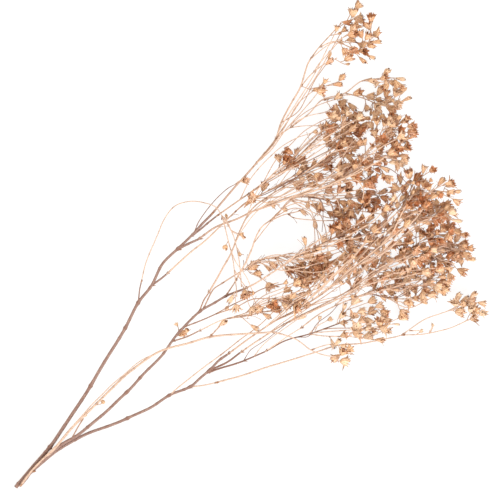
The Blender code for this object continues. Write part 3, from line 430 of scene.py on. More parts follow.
# Whether a head clears the sheet, the other nodes and its own spray
def fits(room, own, owner, head):
    stalks, (start, end, radius) = headParts(head)
    margins = [
        min(start.z, end.z) - radius - growth["lowest"],
        growth["highest"] - max(start.z, end.z) - radius,
        room.free(owner, start, end, radius),
        gapTo(own["heads"], start, end, radius) - growth["ownClearance"],
        gapTo(own["stalks"], start, end, radius * growth["overStalk"]) - growth["ownClearance"]]
    for start, end, radius in stalks:
        outer = start.lerp(end, growth["stalkFree"])
        margins += [
            min(start.z, end.z) - radius - growth["lowest"] * growth["stalkLowest"],
            room.free(owner, start, end, radius),
            gapTo(own["heads"], start, end, radius) - growth["ownClearance"],
            gapTo(own["stalks"], outer, end, radius)]
    return min(margins) >= 0.0


# Redraws a head's height and lean until it is clear of all that stands there
def settleHead(room, plan, kind, place):
    rng = plan["rng"]
    scale = rng.uniform(growth["scaleLow"], growth["scaleHigh"])
    for attempt in range(growth["tries"]):
        drift = growth["drift"] + growth["driftGrowth"] * attempt / growth["tries"]
        spread = growth["spread"] * (1.0 + growth["spreadGrowth"] * attempt / growth["tries"])
        right = place[0] + rng.uniform(-drift, drift)
        down = place[1] + rng.uniform(-drift, drift)
        height = plan["heights"](right, down) + rng.uniform(-spread, spread)
        head = forkHead(plan["tree"], kind, lay((right, down, height)), scale, rng)
        if fits(room, plan["own"], plan["name"], head):
            return head
    return None


# A big head that the branch leans on: it lies along the sheet, a little into it
def restHead(plan, place):
    big = headKinds["big"]
    target = lay((*place, big["width"] * 0.5 - growth["flatDepth"]))
    head = forkHead(plan["tree"], "big", target, 1.0, plan["rng"])
    head["axis"] = Vector((*head["axis"].xy, 0.0)).normalized()
    head["foot"] = head["stalk"][-1] = target - head["axis"] * big["length"] * 0.5
    return head


# Grows one head on a node, if there is room for it, and lets later stalks grow from its own
def addHead(plan, room, kind, place, crowns):
    name, tree, own = plan["name"], plan["tree"], plan["own"]
    head = restHead(plan, place) if kind == "low" else settleHead(room, plan, kind, place)
    if head is None:
        return False
    stalks, body = headParts(head)
    for start, end, radius in (*stalks, body):
        room.take(name, start, end, radius)
    own["stalks"] += [[*start, *end, radius] for start, end, radius in stalks]
    own["heads"].append([*body[0], *body[1], body[2]])
    tree[:] = [spot for spot in tree if (spot[0] - head["root"]).length > growth["rootsApart"]]
    start, end = head["stalk"][-2:]
    tree += samplesOf([start.lerp(end, growth["forkFrom"]), start.lerp(end, growth["forkTo"])])
    plan["heads"].append(head)
    crowns.append(place)
    return True


# A node's routes in the part's frame; a spray's first one starts just past its seam
def laidRoutes(name, spec):
    routes = [(startRadius, endRadius, [lay(place) for place in places])
              for startRadius, endRadius, places in spec]
    if name in sprays:
        points = routes[0][2]
        points[0] = points[0] + (points[1] - points[0]).normalized() * growth["seam"]
    return routes


# Height of the nearest route of a node, over any place on the sheet
def heightRule(spec):
    knots = []
    for startRadius, endRadius, places in spec:
        for first, second in zip(places, places[1:]):
            knots += [[a + (b - a) * share for a, b in zip(first, second)]
                      for share in (0.0, 0.25, 0.5, 0.75)]
        knots.append(list(places[-1]))
    table = np.array(knots)

    def height(right, down):
        gaps = np.hypot(table[:, 0] - right, table[:, 1] - down)
        return float(table[int(gaps.argmin()), 2])

    return height


# A node's own heads: those that the branch leans on first, then the nearest ones
def wantedHeads(heads, start):
    wanted = []
    for kind in ("low", *headKinds):
        for place in heads.get(kind, []):
            away = math.hypot(place[0] - start[0], place[1] - start[1])
            wanted.append((kind != "low", away, kind, place))
    return [(kind, place) for isFree, away, kind, place in sorted(wanted)]


# A node before its heads grow: its routes, and where stalks may start
def startPlan(name, spec, seed):
    routes = laidRoutes(name, spec)
    tree, stalks = [], []
    for startRadius, endRadius, points in routes:
        tree += samplesOf(points)
        stalks += [[*first, *second, endRadius] for first, second in zip(points, points[1:])]
    return dict(
        name=name, routes=routes, tree=tree, own=dict(heads=[], stalks=stalks), heads=[],
        heights=heightRule(spec), rng=random.Random(seed))


# Whether a place on the sheet is in one of the gaps that are kept free
def inGap(place):
    return any(math.hypot(place[0] - right, place[1] - down) < reach
               for right, down, reach in growth["gaps"])


# Heads by the rule: each goes to the emptiest of some places drawn in its ellipse
def fillHeads(plan, room, ellipses, crowns):
    rng = plan["rng"]
    for centreRight, centreDown, reachRight, reachDown, count in ellipses:
        grown, misses = 0, 0
        while grown < count and misses < growth["misses"] * count:
            best, bestGap = None, -1.0
            for draw in range(growth["draws"]):
                turn = rng.uniform(0, 2 * math.pi)
                share = math.sqrt(rng.random())
                place = (centreRight + reachRight * share * math.cos(turn),
                         centreDown + reachDown * share * math.sin(turn))
                gap = min(math.hypot(place[0] - c[0], place[1] - c[1]) for c in crowns)
                if gap > bestGap and not inGap(place):
                    best, bestGap = place, gap
            kind = rng.choice(growth["fillKinds"])
            if best is not None and addHead(plan, room, kind, best, crowns):
                grown += 1
            else:
                misses += 1


# A soft curve through points, with values carried along it
def softCurve(points, values, step):
    points = np.array([list(point) for point in points], dtype=float)
    values = np.array(values, dtype=float)
    ways = np.gradient(points, axis=0)
    ways /= np.linalg.norm(ways, axis=1)[:, None]
    places, carried = [], []
    for number in range(len(points) - 1):
        start, end = points[number], points[number + 1]
        length = np.linalg.norm(end - start)
        count = max(2, int(round(length / step)))
        t = np.arange(count)[:, None] / count
        before, after = ways[number] * length, ways[number + 1] * length
        places.append(
            start * (2 * t**3 - 3 * t**2 + 1) + before * (t**3 - 2 * t**2 + t)
            + end * (3 * t**2 - 2 * t**3) + after * (t**3 - t**2))
        carried.append(values[number] + (values[number + 1] - values[number]) * t[:, 0])
    return np.vstack([*places, points[-1:]]), np.concatenate([*carried, values[-1:]])


# Strands: long thin twigs between the sprays, each with the head that it ends in. They start on
# the nearest twig of their node, and their heights follow that node's twigs
strands = {
    "upper_spray": [
        ("cup", [(240, 198), (262, 184), (287, 171), (310, 163), (330, 151), (339, 146)]),
        ("pod", [(238, 218), (273, 203), (300, 194), (325, 188), (350, 176)])],
    "pale_spray": [
        ("cup", [(268, 194), (292, 180), (318, 166)]),
        ("cup", [(252, 199), (272, 197), (294, 199), (310, 204)])],
    "crown_spray": [
        ("cup", [(300, 155), (310, 147), (318, 140), (328, 133), (340, 127)]),
        ("bud", [(240, 199), (252, 177), (275, 152), (295, 139), (312, 133)]),
        ("cup", [(262, 184), (276, 160), (292, 143), (305, 131), (320, 122), (329, 118)]),
        ("pod", [(287, 168), (299, 148), (313, 132), (328, 122), (341, 113)])],
    "top_side_spray": [
        ("cup", [(282, 133), (292, 124), (305, 113), (319, 105), (333, 100)]),
        ("pod", [(287, 130), (298, 121), (312, 115), (325, 112), (337, 106)]),
        ("bud", [(290, 128), (303, 126), (317, 126)])],
    "top_spray": [
        ("bud", [(275, 140), (287, 122), (298, 104), (312, 92)]),
        ("pod", [(281, 123), (298, 112), (306, 99), (315, 80), (325, 66)]),
        ("cup", [(310, 60), (322, 50), (334, 43), (346, 37)])],
    "right_high_spray": [
        ("cup", [(380, 245), (400, 230), (420, 223), (436, 214)]),
        ("star", [(372, 252), (385, 236), (405, 219), (422, 208)]),
        ("bud", [(262, 329), (275, 319), (288, 306), (300, 296), (316, 289)]),
        ("bud", [(262, 329), (279, 315), (296, 301), (318, 291), (338, 284)])],
    "right_middle_spray": [
        ("cup", [(375, 273), (392, 290), (410, 287), (434, 271)]),
        ("bud", [(285, 324), (300, 314), (318, 302), (338, 296), (354, 289)]),
        ("bud", [(262, 338), (284, 322), (304, 309), (328, 301), (349, 297)])],
    "right_low_spray": [
        ("cup", [(390, 298), (408, 308), (426, 301), (441, 292)])],
    "lower_spray": [
        ("cup", [(350, 320), (370, 329), (385, 325), (398, 319)]),
        ("pod", [(253, 357), (265, 343), (283, 330), (297, 320)]),
        ("bud", [(309, 334.5), (318, 326), (327, 321)])],
    "side_spray": [
        ("cup", [(246, 313), (262, 300), (280, 293), (292, 286)]),
        ("bud", [(246, 313), (262, 302), (284, 296), (306, 289), (322, 283)]),
        ("bud", [(246, 313), (262, 297), (280, 289), (298, 281), (316, 276)])],
    "arch_spray": [
        ("cup", [(243, 270), (262, 259), (284, 256), (302, 257)])],
    "second_stem": [
        ("bud", [(218, 313), (232, 305), (246, 298), (262, 289), (282, 284)]),
        ("bud", [(218, 313), (234, 308), (254, 299), (276, 299), (296, 302)]),
        ("bud", [(222, 354), (236, 343), (252, 331), (264, 321), (273, 312)])],
    "inner_spray": [
        ("cup", [(293, 259), (318, 254), (338, 249), (352, 240)])],
    "middle_dark_spray": [
        ("cup", [(290, 200), (312, 212), (330, 218), (345, 214)]),
        ("bud", [(290, 200), (309, 208), (316, 226), (320, 247), (324, 262)]),
        ("bud", [(290, 200), (306, 202), (320, 214), (326, 232), (328, 250)]),
        ("pod", [(276, 216), (296, 208), (311, 216), (315, 236), (313, 252)])],
    "middle_pale_spray": [
        ("cup", [(282, 188), (304, 186), (326, 178), (338, 170)])],
    "twig_loop": [
        ("bud", [(222, 216), (228, 222), (232, 231), (241, 236)]),
        ("bud", [(231, 251), (236, 262), (246, 276), (252, 290)]),
        ("cup", [(234, 268), (241, 280), (252, 296), (256, 304)])],
}

# the same, but these lie over the heads; their bark is painted paler, a painted highlight for the
# twigs on top
upperStrands = {
    "right_high_spray": [
        ("cup", [(356, 266), (385, 252), (398, 240), (410, 230), (420, 222), (432, 217),
            (442, 210)]),
        ("cup", [(356, 266), (380, 252), (396, 236), (408, 226), (416, 217), (422, 209)]),
        ("bud", [(380, 245), (392, 232), (398, 220), (405, 206), (411, 196)]),
        ("cup", [(330, 288), (352, 268), (372, 252), (388, 240), (402, 228)]),
        ("star", [(300, 308), (328, 282), (344, 267), (356, 253), (364, 243)]),
        ("bud", [(300, 308), (318, 290), (334, 274), (350, 259)]),
        ("bud", [(300, 308), (316, 286), (330, 272), (343, 261), (352, 252)])],
    "right_middle_spray": [
        ("cup", [(350, 290), (366, 266), (380, 256), (392, 246), (404, 243)]),
        ("pod", [(350, 290), (372, 272), (392, 262), (408, 256), (420, 250)]),
        ("cup", [(375, 273), (398, 264), (415, 255), (428, 250)]),
        ("cup", [(400, 259), (420, 252), (438, 249), (452, 250)])],
    "right_low_spray": [
        ("cup", [(335, 306), (352, 291), (372, 283), (398, 278), (420, 273)]),
        ("pod", [(352, 299), (380, 291), (404, 284), (424, 276)])],
    "inner_spray": [
        ("cup", [(315, 247), (338, 240), (356, 231), (372, 222), (382, 212)]),
        ("cup", [(293, 259), (322, 250), (342, 240), (358, 238), (370, 232)]),
        ("bud", [(336, 237), (354, 226), (372, 214), (388, 205)])],
    "crown_spray": [
        ("cup", [(287, 168), (302, 154), (315, 145), (330, 135), (345, 126), (355, 121)]),
        ("cup", [(287, 168), (304, 156), (318, 147), (333, 139), (347, 132)])],
    "upper_spray": [
        ("cup", [(300, 195), (325, 187), (345, 178), (360, 172), (376, 163), (386, 156)]),
        ("star", [(325, 187), (350, 175), (364, 168), (380, 161), (392, 150)]),
        ("cup", [(352, 172), (364, 160), (380, 148), (395, 140)]),
        ("bud", [(325, 187), (343, 183), (356, 181), (363, 190), (362, 199)])],
    "middle_pale_spray": [
        ("pod", [(300, 176), (318, 163), (332, 153), (345, 149), (356, 146)])],
    "middle_dark_spray": [
        ("cup", [(308, 197), (330, 194), (350, 192), (366, 187)]),
        ("bud", [(308, 197), (326, 191), (336, 199), (340, 212), (338, 226)]),
        ("bud", [(308, 197), (320, 196), (331, 206), (334, 220), (331, 238)])],
    "arch_spray": [
        ("cup", [(275, 257), (294, 262), (312, 259), (330, 255), (345, 250)]),
        ("bud", [(257, 261.5), (280, 270), (300, 268), (322, 262)]),
        ("bud", [(275, 257), (289, 268), (306, 272), (324, 271), (342, 264)]),
        ("cup", [(275, 257), (286, 272), (302, 281), (320, 279), (338, 272)])],
}

# thin dark twigs, bare at their ends
darkTwigs = {
    "pale_spray": [
        [(252, 199), (268, 193), (285, 184), (298, 176), (310, 167), (325, 161)]],
    "right_low_spray": [
        [(368, 293), (393, 298), (412, 286), (430, 272)],
        [(390, 298), (400, 297), (417, 287), (434, 275)]],
    "middle_dark_spray": [
        [(308, 197), (321, 201), (323, 215), (322, 232)],
        [(308, 197), (330, 203), (334, 218), (330, 240)]],
    "inner_spray": [
        [(336, 237), (362, 235), (377, 226), (388, 216)],
        [(356, 229), (372, 235), (388, 232), (400, 233)]],
    "upper_spray": [
        [(365, 165), (386, 168), (398, 176), (408, 186)]],
    "right_high_spray": [
        [(380, 245), (391, 206), (398, 196), (407, 186)]],
    "right_middle_spray": [
        [(400, 259), (412, 240), (424, 236), (444, 237)]],
    "lower_spray": [
        [(243, 361.5), (246, 357), (252, 349), (270, 337), (290, 321)],
        [(300, 337), (309, 336), (317, 324), (330, 314), (339, 304)]],
    "side_spray": [
        [(268, 304), (280, 300), (292, 304), (305, 297)]],
}

# companions: thin twigs that run beside a spray's own ones and fan out to its heads; how many
# each has, where they start and how far they aim (shares of a twig), and how they bow and end
companions = dict(
    count=dict(
        top_spray=4, top_side_spray=3, crown_spray=7, upper_spray=8, pale_spray=3,
        middle_pale_spray=5, middle_dark_spray=6, arch_spray=6, inner_spray=8, side_spray=3,
        right_high_spray=11, right_middle_spray=10, right_low_spray=8, lower_spray=3),
    startLow=0.22, startHigh=0.7, onward=12.0, fan=6.0, aside=2.8, lift=9.0, lowest=8.0,
    ahead=0.3, shortest=3, heights=(-2.0, 14.4), rise=(0.1, 1.0), leaving=1.5,
    stations=(0.0, 0.2, 0.42, 0.66, 0.86, 1.0), thick=0.44, thickStray=(0.8, 1.15), thin=0.32,
    lean=0.35, stub=1.2, scale=(0.6, 0.85), kinds=("cup", "cup", "bud", "pod", "star"))
# strands: radii of plain, raised and bare ones, and how they rise between their ends
strandShape = dict(
    plain=(0.4, 0.3), raised=(0.54, 0.38), bare=(0.34, 0.22), bow=5.0, bowLift=0.6,
    endHighest=96.0, highest=98.0, upperLift=12.0, darkLift=8.0, wander=(-6.0, 8.0),
    lean=0.25, stub=1.5, scale=(0.85, 1.05))

# the third pale stem by the cut end, which lies on the two others
extraRoutes = {"second_stem": [
    (0.85, 0.7, [(19, 487.5, 6.4), (29.5, 473.5, 8.6), (41, 461, 11), (55, 447, 13.6)]),
    (0.5, 0.35, [(66, 434, 15.5), (84, 413.5, 22), (104, 392.5, 28), (124, 374.5, 32.5),
        (142, 360, 36.5), (158, 352.5, 37.5)])]}
# routes whose bark is pale although they are thick, and those whose bark is dark
paleRoutes = {"second_stem": (1, 11, 12, 14, 15), "low_tip_spray": (0, 1, 2),
              "twig_loop": (0, 1, 2), "drooping_spray": (0, 1)}
darkRoutes = {"main_stem": (2,), "second_stem": (9, 10), "lower_spray": (0,)}
# routes that are a little thicker or thinner than the solids': radius at the start and the end
measuredRoutes = {
    "main_stem": {0: (1.78, 0.98), 2: (0.36, 0.24)},
    "second_stem": {
        0: (1.58, 0.8), 2: (1.42, 1.0), 4: (0.55, 0.45), 5: (0.5, 0.42), 6: (0.5, 0.45),
        9: (0.85, 0.75), 10: (0.8, 0.7), 11: (0.6, 0.5)}}

# what stands between the heads of the solids: smaller heads, and bare hair-thin twigs; the
# table shows in the gaps between them (right, down and reach)
thicket = dict(
    clearance=-1.3, ownClearance=-1.7, scaleLow=0.66, scaleHigh=0.98, tries=14, draws=5,
    fillKinds=("cup", "cup", "cup", "star", "pod", "bud"),
    gaps=[(355, 154, 6), (343, 160, 6.5), (340, 168, 6), (377, 132, 5.5), (387, 131, 5),
        (374, 142, 6), (378, 151, 5), (353, 136, 4), (371, 121, 4.5), (384, 188, 6.5),
        (391, 189, 6), (358, 190, 6), (346, 191, 6), (342, 195, 6), (377, 196, 5),
        (384, 197, 4.5), (357, 203, 6), (364, 215, 5.5), (374, 215, 4.5), (369, 222, 6),
        (385, 204, 5.5), (391, 207, 5), (387, 216, 5.5), (392, 211, 5), (410, 222, 4.5),
        (376, 238, 5.5), (373, 245, 6), (367, 251, 5.5), (346, 237, 4.5), (338, 239, 6),
        (397, 249, 5), (392, 255, 5.5), (381, 264, 5.5), (391, 263, 4.5), (391, 273, 7.5),
        (379, 273, 5.5), (404, 264, 5), (414, 242, 6), (423, 243, 8), (415, 236, 4.5),
        (426, 235, 4.5), (427, 196, 7), (445, 197, 7.5), (435, 257, 6.5), (445, 236, 6),
        (304, 147, 9), (313, 156, 8), (328, 153, 6), (325, 147, 5.5), (326, 180, 7),
        (332, 252, 8), (318, 255, 5), (329, 233, 7), (295, 263, 6), (278, 275, 8), (313, 285, 4),
        (296, 292, 3.5), (322, 290, 6), (283, 260, 8), (334, 191, 8), (341, 266, 4),
        (357, 266, 4.5)])
thicketHeads = {
    "top_spray": [(358, 40, 20, 30, 2)],
    "top_side_spray": [(386, 90, 19, 15, 3), (372, 112, 20, 6, 5)],
    "crown_spray": [(343, 130, 18, 16, 7), (290, 160, 11, 7, 4), (364, 124, 10, 8, 5)],
    "upper_spray": [(388, 121, 13, 5, 7), (384, 146, 8, 10, 3), (370, 172, 22, 12, 8),
        (392, 162, 10, 8, 4)],
    "pale_spray": [(318, 174, 20, 12, 3)],
    "middle_pale_spray": [(345, 165, 20, 20, 5)],
    "middle_dark_spray": [(350, 206, 26, 15, 9), (375, 205, 12, 9, 6)],
    "arch_spray": [(312, 270, 30, 11, 14)],
    "inner_spray": [(358, 226, 26, 14, 9), (393, 226, 13, 11, 6), (355, 248, 22, 10, 6),
        (348, 261, 15, 8, 5)],
    "side_spray": [(295, 300, 13, 12, 2), (274, 309, 7, 6, 3)],
    "right_high_spray": [(411, 190, 18, 13, 9), (428, 212, 24, 14, 11), (400, 218, 12, 14, 5)],
    "right_middle_spray": [(438, 226, 16, 8, 7), (446, 256, 20, 14, 9), (410, 250, 18, 12, 10)],
    "right_low_spray": [(415, 280, 32, 14, 8), (375, 280, 26, 12, 5), (362, 262, 16, 10, 4),
        (358, 277, 16, 9, 5), (386, 292, 14, 7, 4)],
}
hairs = dict(
    nodes=("crown_spray", "upper_spray", "pale_spray", "middle_pale_spray", "middle_dark_spray",
           "arch_spray", "inner_spray", "side_spray", "right_high_spray", "right_middle_spray",
           "right_low_spray"),
    perHead=0.9, short=5.0, long=16.0, radii=(0.34, 0.25, 0.25), stray=0.42, flatter=0.7,
    bend=0.09, knobs=0.4, knobLength=0.9, reach=16.0)


# Adds a twig's last head, a little past its end, in the twig's own direction
def endHead(plan, kind, line, shape):
    rng = plan["rng"]
    way = (line[-1] - line[-2]).normalized()
    axis = (way + jitter(rng) * shape["lean"]).normalized()
    scale = rng.uniform(*shape["scale"])
    stalk = [line[-1] - way * growth["endSink"], line[-1] + way * shape["stub"]]
    plan["heads"].append(dict(
        kind=kind or rng.choice(shape["kinds"]), stalk=stalk, foot=stalk[-1], axis=axis,
        scale=scale))


# A strand of a node: its twig, and the head at its end
def growStrand(plan, kind, places, lift=0.0):
    first = lay((*places[0], 0.0))
    knots = [spot for spot, direction in plan["tree"]] + plan["routes"][0][2]
    start = min(knots, key=lambda spot: (spot.xy - first.xy).length)
    wander = plan["rng"].uniform(*strandShape["wander"])
    endHeight = min(strandShape["endHighest"], plan["heights"](*places[-1]) + wander + lift)
    points = [start]
    for number, place in enumerate(places[1:], 1):
        share = number / (len(places) - 1)
        bow = (strandShape["bow"] + strandShape["bowLift"] * lift) * math.sin(math.pi * share)
        height = start.z + (endHeight - start.z) * share + bow
        points.append(lay((*place, min(strandShape["highest"], height))))
    if kind is None:
        plan["dark"].add(len(plan["routes"]))
        plan["routes"].append((*strandShape["bare"], points))
        return
    # a raised strand is marked for painted highlight
    if lift:
        plan["bright"].add(len(plan["routes"]))
    plan["routes"].append((*strandShape["raised" if lift else "plain"], points))
    endHead(plan, kind, points, strandShape)


# A companion: it leaves a twig, keeps beside it and ends by one of the spray's heads
def growCompanion(plan, targets):
    rng = plan["rng"]
    radius, thin, points = rng.choice(plan["firm"][:1] * 2 + plan["firm"])
    path, values = softCurve(points, [0.0] * len(points), 4.0)
    begin = int(len(path) * rng.uniform(companions["startLow"], companions["startHigh"]))
    onward = Vector(path[-1]) - Vector(path[begin])
    least = companions["ahead"] * onward.length_squared
    ahead = [target for target in targets if (target - Vector(path[begin])).dot(onward) > least]
    if not ahead or onward.length < companions["onward"]:
        return
    goal = rng.choice(ahead)
    leave = int(np.linalg.norm(path - np.array(goal), axis=1).argmin())
    if leave - begin < companions["shortest"]:
        return
    fan, spread = companions["fan"], companions["aside"]
    goal = goal + Vector((rng.gauss(0, fan), rng.gauss(0, fan), 0.0))
    height = goal.z + rng.uniform(*companions["heights"])
    goal.z = min(strandShape["endHighest"], max(companions["lowest"], height))
    aside = Vector((rng.gauss(0, spread), rng.gauss(0, spread),
                    rng.uniform(*companions["rise"]) * companions["lift"]))
    line = []
    for share in companions["stations"]:
        spot = Vector(path[begin + int((leave - begin) * share)])
        spot = spot + (goal - Vector(path[leave])) * share ** companions["leaving"]
        line.append(spot + aside * math.sin(math.pi * share))
    startRadius = companions["thick"] * rng.uniform(*companions["thickStray"])
    plan["routes"].append((startRadius, companions["thin"], line))
    endHead(plan, None, line, companions)
    plan["tree"] += samplesOf(line)


# Bare hairs that fork from the twigs and stalks of a node
def growHairs(plan):
    rng = plan["rng"]

    def anyWay(flatter=1.0):
        return Vector((rng.gauss(0, 1), rng.gauss(0, 1), rng.gauss(0, flatter)))

    found = []
    feet = np.array([list(head["foot"]) for head in plan["heads"]])
    nearHeads = [spot for spot in plan["tree"]
                 if np.linalg.norm(feet - np.array(spot[0]), axis=1).min() < hairs["reach"]]
    for number in range(int(len(plan["heads"]) * hairs["perHead"])):
        place, direction = rng.choice(nearHeads)
        way = (direction + anyWay(hairs["flatter"]) * hairs["stray"]).normalized()
        length = rng.uniform(hairs["short"], hairs["long"])
        bend = anyWay() * length * hairs["bend"]
        end = place + way * length
        if growth["lowest"] <= end.z <= growth["highest"]:
            found.append(([place, place + way * length * 0.5 + bend, end], rng.random()))
    return found


print("growing the branch")
specs = {name: (spec, stemHeads[name]) for name, spec in stems.items()}
specs.update({name: (spray["routes"], spray) for name, spray in sprays.items()})
room = Room()
for name, (spec, heads) in specs.items():
    for startRadius, endRadius, points in laidRoutes(name, spec):
        for start, end in zip(points, points[1:]):
            room.take(name, start, end, max(startRadius, endRadius))
crowns = []
plans = {}
for seed, (name, (spec, heads)) in enumerate(specs.items()):
    plan = plans[name] = startPlan(name, spec, seed)
    for kind, place in wantedHeads(heads, spec[0][2][0]):
        addHead(plan, room, kind, place, crowns)
for name, (spec, heads) in specs.items():
    fillHeads(plans[name], room, heads.get("fill", []), crowns)
firmHeads = sum(len(plan["heads"]) for plan in plans.values())
growth.update(thicket)    # from here heads may touch, and the gaps stay free
for name, ellipses in thicketHeads.items():
    fillHeads(plans[name], room, ellipses, crowns)
for name, plan in plans.items():
    plan.update(firm=list(plan["routes"]), dark=set(darkRoutes.get(name, ())), bright=set())
    plan["routes"] += [(startRadius, endRadius, [lay(place) for place in places])
                       for startRadius, endRadius, places in extraRoutes.get(name, [])]
    for kind, places in strands.get(name, ()):
        growStrand(plan, kind, places)
    for kind, places in upperStrands.get(name, ()):
        growStrand(plan, kind, places, strandShape["upperLift"])
    for places in darkTwigs.get(name, ()):
        growStrand(plan, None, places, strandShape["darkLift"])
    targets = [head["foot"] for head in plan["heads"]]
    for number in range(companions["count"].get(name, 0)):
        growCompanion(plan, targets)
allHeads = sum(len(plan["heads"]) for plan in plans.values())
print("heads of the solids", firmHeads, "- with those between them", allHeads)


# Cosines and sines round a ring
def circle(columns):
    angle = 2 * math.pi * np.arange(columns)[:, None] / columns
    return np.cos(angle), np.sin(angle)


# One mesh in the making: rings of points, and what the finishes read at each point; the knot mark
# holds the bark's knots, and on a calyx the painted shade inside its bell
class Skin:

    def __init__(self):
        self.points, self.faces, self.slots, self.marks, self.count = [], [], [], [], 0

    # A closed sheet over rings; its finish is a material slot
    def loft(self, rings, slot, tone, along, girth=0.3, knot=0.0, run=None):
        rows, columns = rings.shape[:2]
        cosine, sine = circle(columns)
        upright = np.reshape(along if run is None else run, (-1, 1))
        along = along if np.ndim(along) == 2 else np.reshape(along, (-1, 1))
        marks = np.empty((rows, columns, 7))
        for number, values in enumerate((
                cosine.T, sine.T, upright, tone, along,
                np.reshape(girth, (-1, 1)), np.reshape(knot, (-1, 1)))):
            marks[:, :, number] = values
        self.points.append(rings.reshape(-1, 3))
        self.marks.append(marks.reshape(-1, 7))
        column = np.arange(columns)
        a = np.arange(rows - 1)[:, None] * columns + column
        b = np.arange(rows - 1)[:, None] * columns + (column + 1) % columns
        quads = np.stack([a, b, b + columns, a + columns], axis=-1).reshape(-1, 4) + self.count
        self.faces += quads.tolist()
        self.faces.append((self.count + column[::-1]).tolist())
        self.faces.append((self.count + (rows - 1) * columns + column).tolist())
        self.slots += [slot] * (len(quads) + 2)
        self.count += rows * columns

    # The finished object, in metres
    def build(self, name, materials):
        mesh = bpy.data.meshes.new(name)
        points = np.vstack(self.points)
        points[:, 2] = np.maximum(points[:, 2], 0.0)    # what rests on the table is flat there
        mesh.from_pydata((points * mm).tolist(), [], self.faces)
        marks = np.vstack(self.marks)
        grain = mesh.attributes.new("grain", "FLOAT_VECTOR", "POINT")
        grain.data.foreach_set("vector", marks[:, :3].ravel())
        for number, label in enumerate(("tone", "along", "girth", "knot"), 3):
            mark = mesh.attributes.new(label, "FLOAT", "POINT")
            mark.data.foreach_set("value", marks[:, number])
        for material in materials:
            mesh.materials.append(material)
        mesh.polygons.foreach_set("material_index", self.slots)
        mesh.polygons.foreach_set("use_smooth", [True] * len(mesh.polygons))
        mesh.update()
        piece = bpy.data.objects.new(name, mesh)
        bpy.context.scene.collection.objects.link(piece)
        return piece


# Rings round a path
def tubeRings(path, radii, columns):
    ways = np.gradient(path, axis=0)
    ways /= np.linalg.norm(ways, axis=1)[:, None]
    cosine, sine = circle(columns)
    side = np.array(Vector(ways[0]).orthogonal())
    rings = np.empty((len(path), columns, 3))
    for number, way in enumerate(ways):
        side = side - way * (side @ way)
        side /= np.linalg.norm(side)
        rings[number] = path[number] + radii[number] * (cosine * side + sine * np.cross(way, side))
    return rings


def pathLength(path):
    return np.concatenate([[0.0], np.cumsum(np.linalg.norm(np.diff(path, axis=0), axis=1))])


# small leaves: half their thickness in mm, how it tapers, how far they twist and how they fold,
# their rings, and how pointed they are
leafShape = dict(thick=0.12, taper=0.6, twist=0.5, fold=0.35, rings=(0.0, 0.25, 0.55, 0.85, 1.0),
                 root=0.12, reach=0.86, point=0.8)


# A small dry leaf, such as a bract or petal: thin, pointed and curled
def addLeaf(skin, slot, tone, base, way, up, length, width, curl, rng, columns=6):
    side = np.cross(way, up)
    shares = np.array(leafShape["rings"])
    cosine, sine = circle(columns)
    rings = np.empty((len(shares), columns, 3))
    twist = rng.uniform(-leafShape["twist"], leafShape["twist"])
    for number, share in enumerate(shares):
        centre = base + way * length * share + up * curl * length * share**2
        full = math.sin(math.pi * (leafShape["root"] + leafShape["reach"] * share))
        half = width * 0.5 * full ** leafShape["point"]
        thin = leafShape["thick"] * (1.0 - leafShape["taper"] * share)
        turned = side * math.cos(twist * share) + up * math.sin(twist * share)
        fold = up * math.cos(twist * share) - side * math.sin(twist * share)
        rings[number] = (
            centre + cosine * turned * half + sine * fold * thin
            + np.abs(cosine) * half * leafShape["fold"] * fold)
    skin.loft(rings, slot if isinstance(slot, int) else rng.choice(slot), tone, shares)


barkSlot, calyxSlot, seedSlot, bractSlot, petalSlot, pithSlot = range(6)

# twigs: rings this far apart (mm), sides, how much they waver, and how much they swell; a stem
# and a twig are each this much plus a share of their radius
twigShape = dict(
    step=2.4, stemSides=14, twigSides=8, hairSides=4, waver=0.22, stem=(0.12, 1.06),
    twig=(0.09, 0.96), stemGirth=1.35, knobSwell=0.42, knobLength=1.9, collarSwell=0.4,
    collarLength=2.6, collarMark=0.7, collarRadius=0.5, ringFirst=(4.0, 14.0), ringEnd=3.0,
    ringEvery=(16.0, 34.0), ringSwell=0.22, ringLength=0.9, ringMark=0.8, waves=(5, 11),
    stemFrom=1.0, scalesFrom=0.45, scaleAway=1.2)
knobPlaces = np.array([list(lay(place)) for place in knobs])


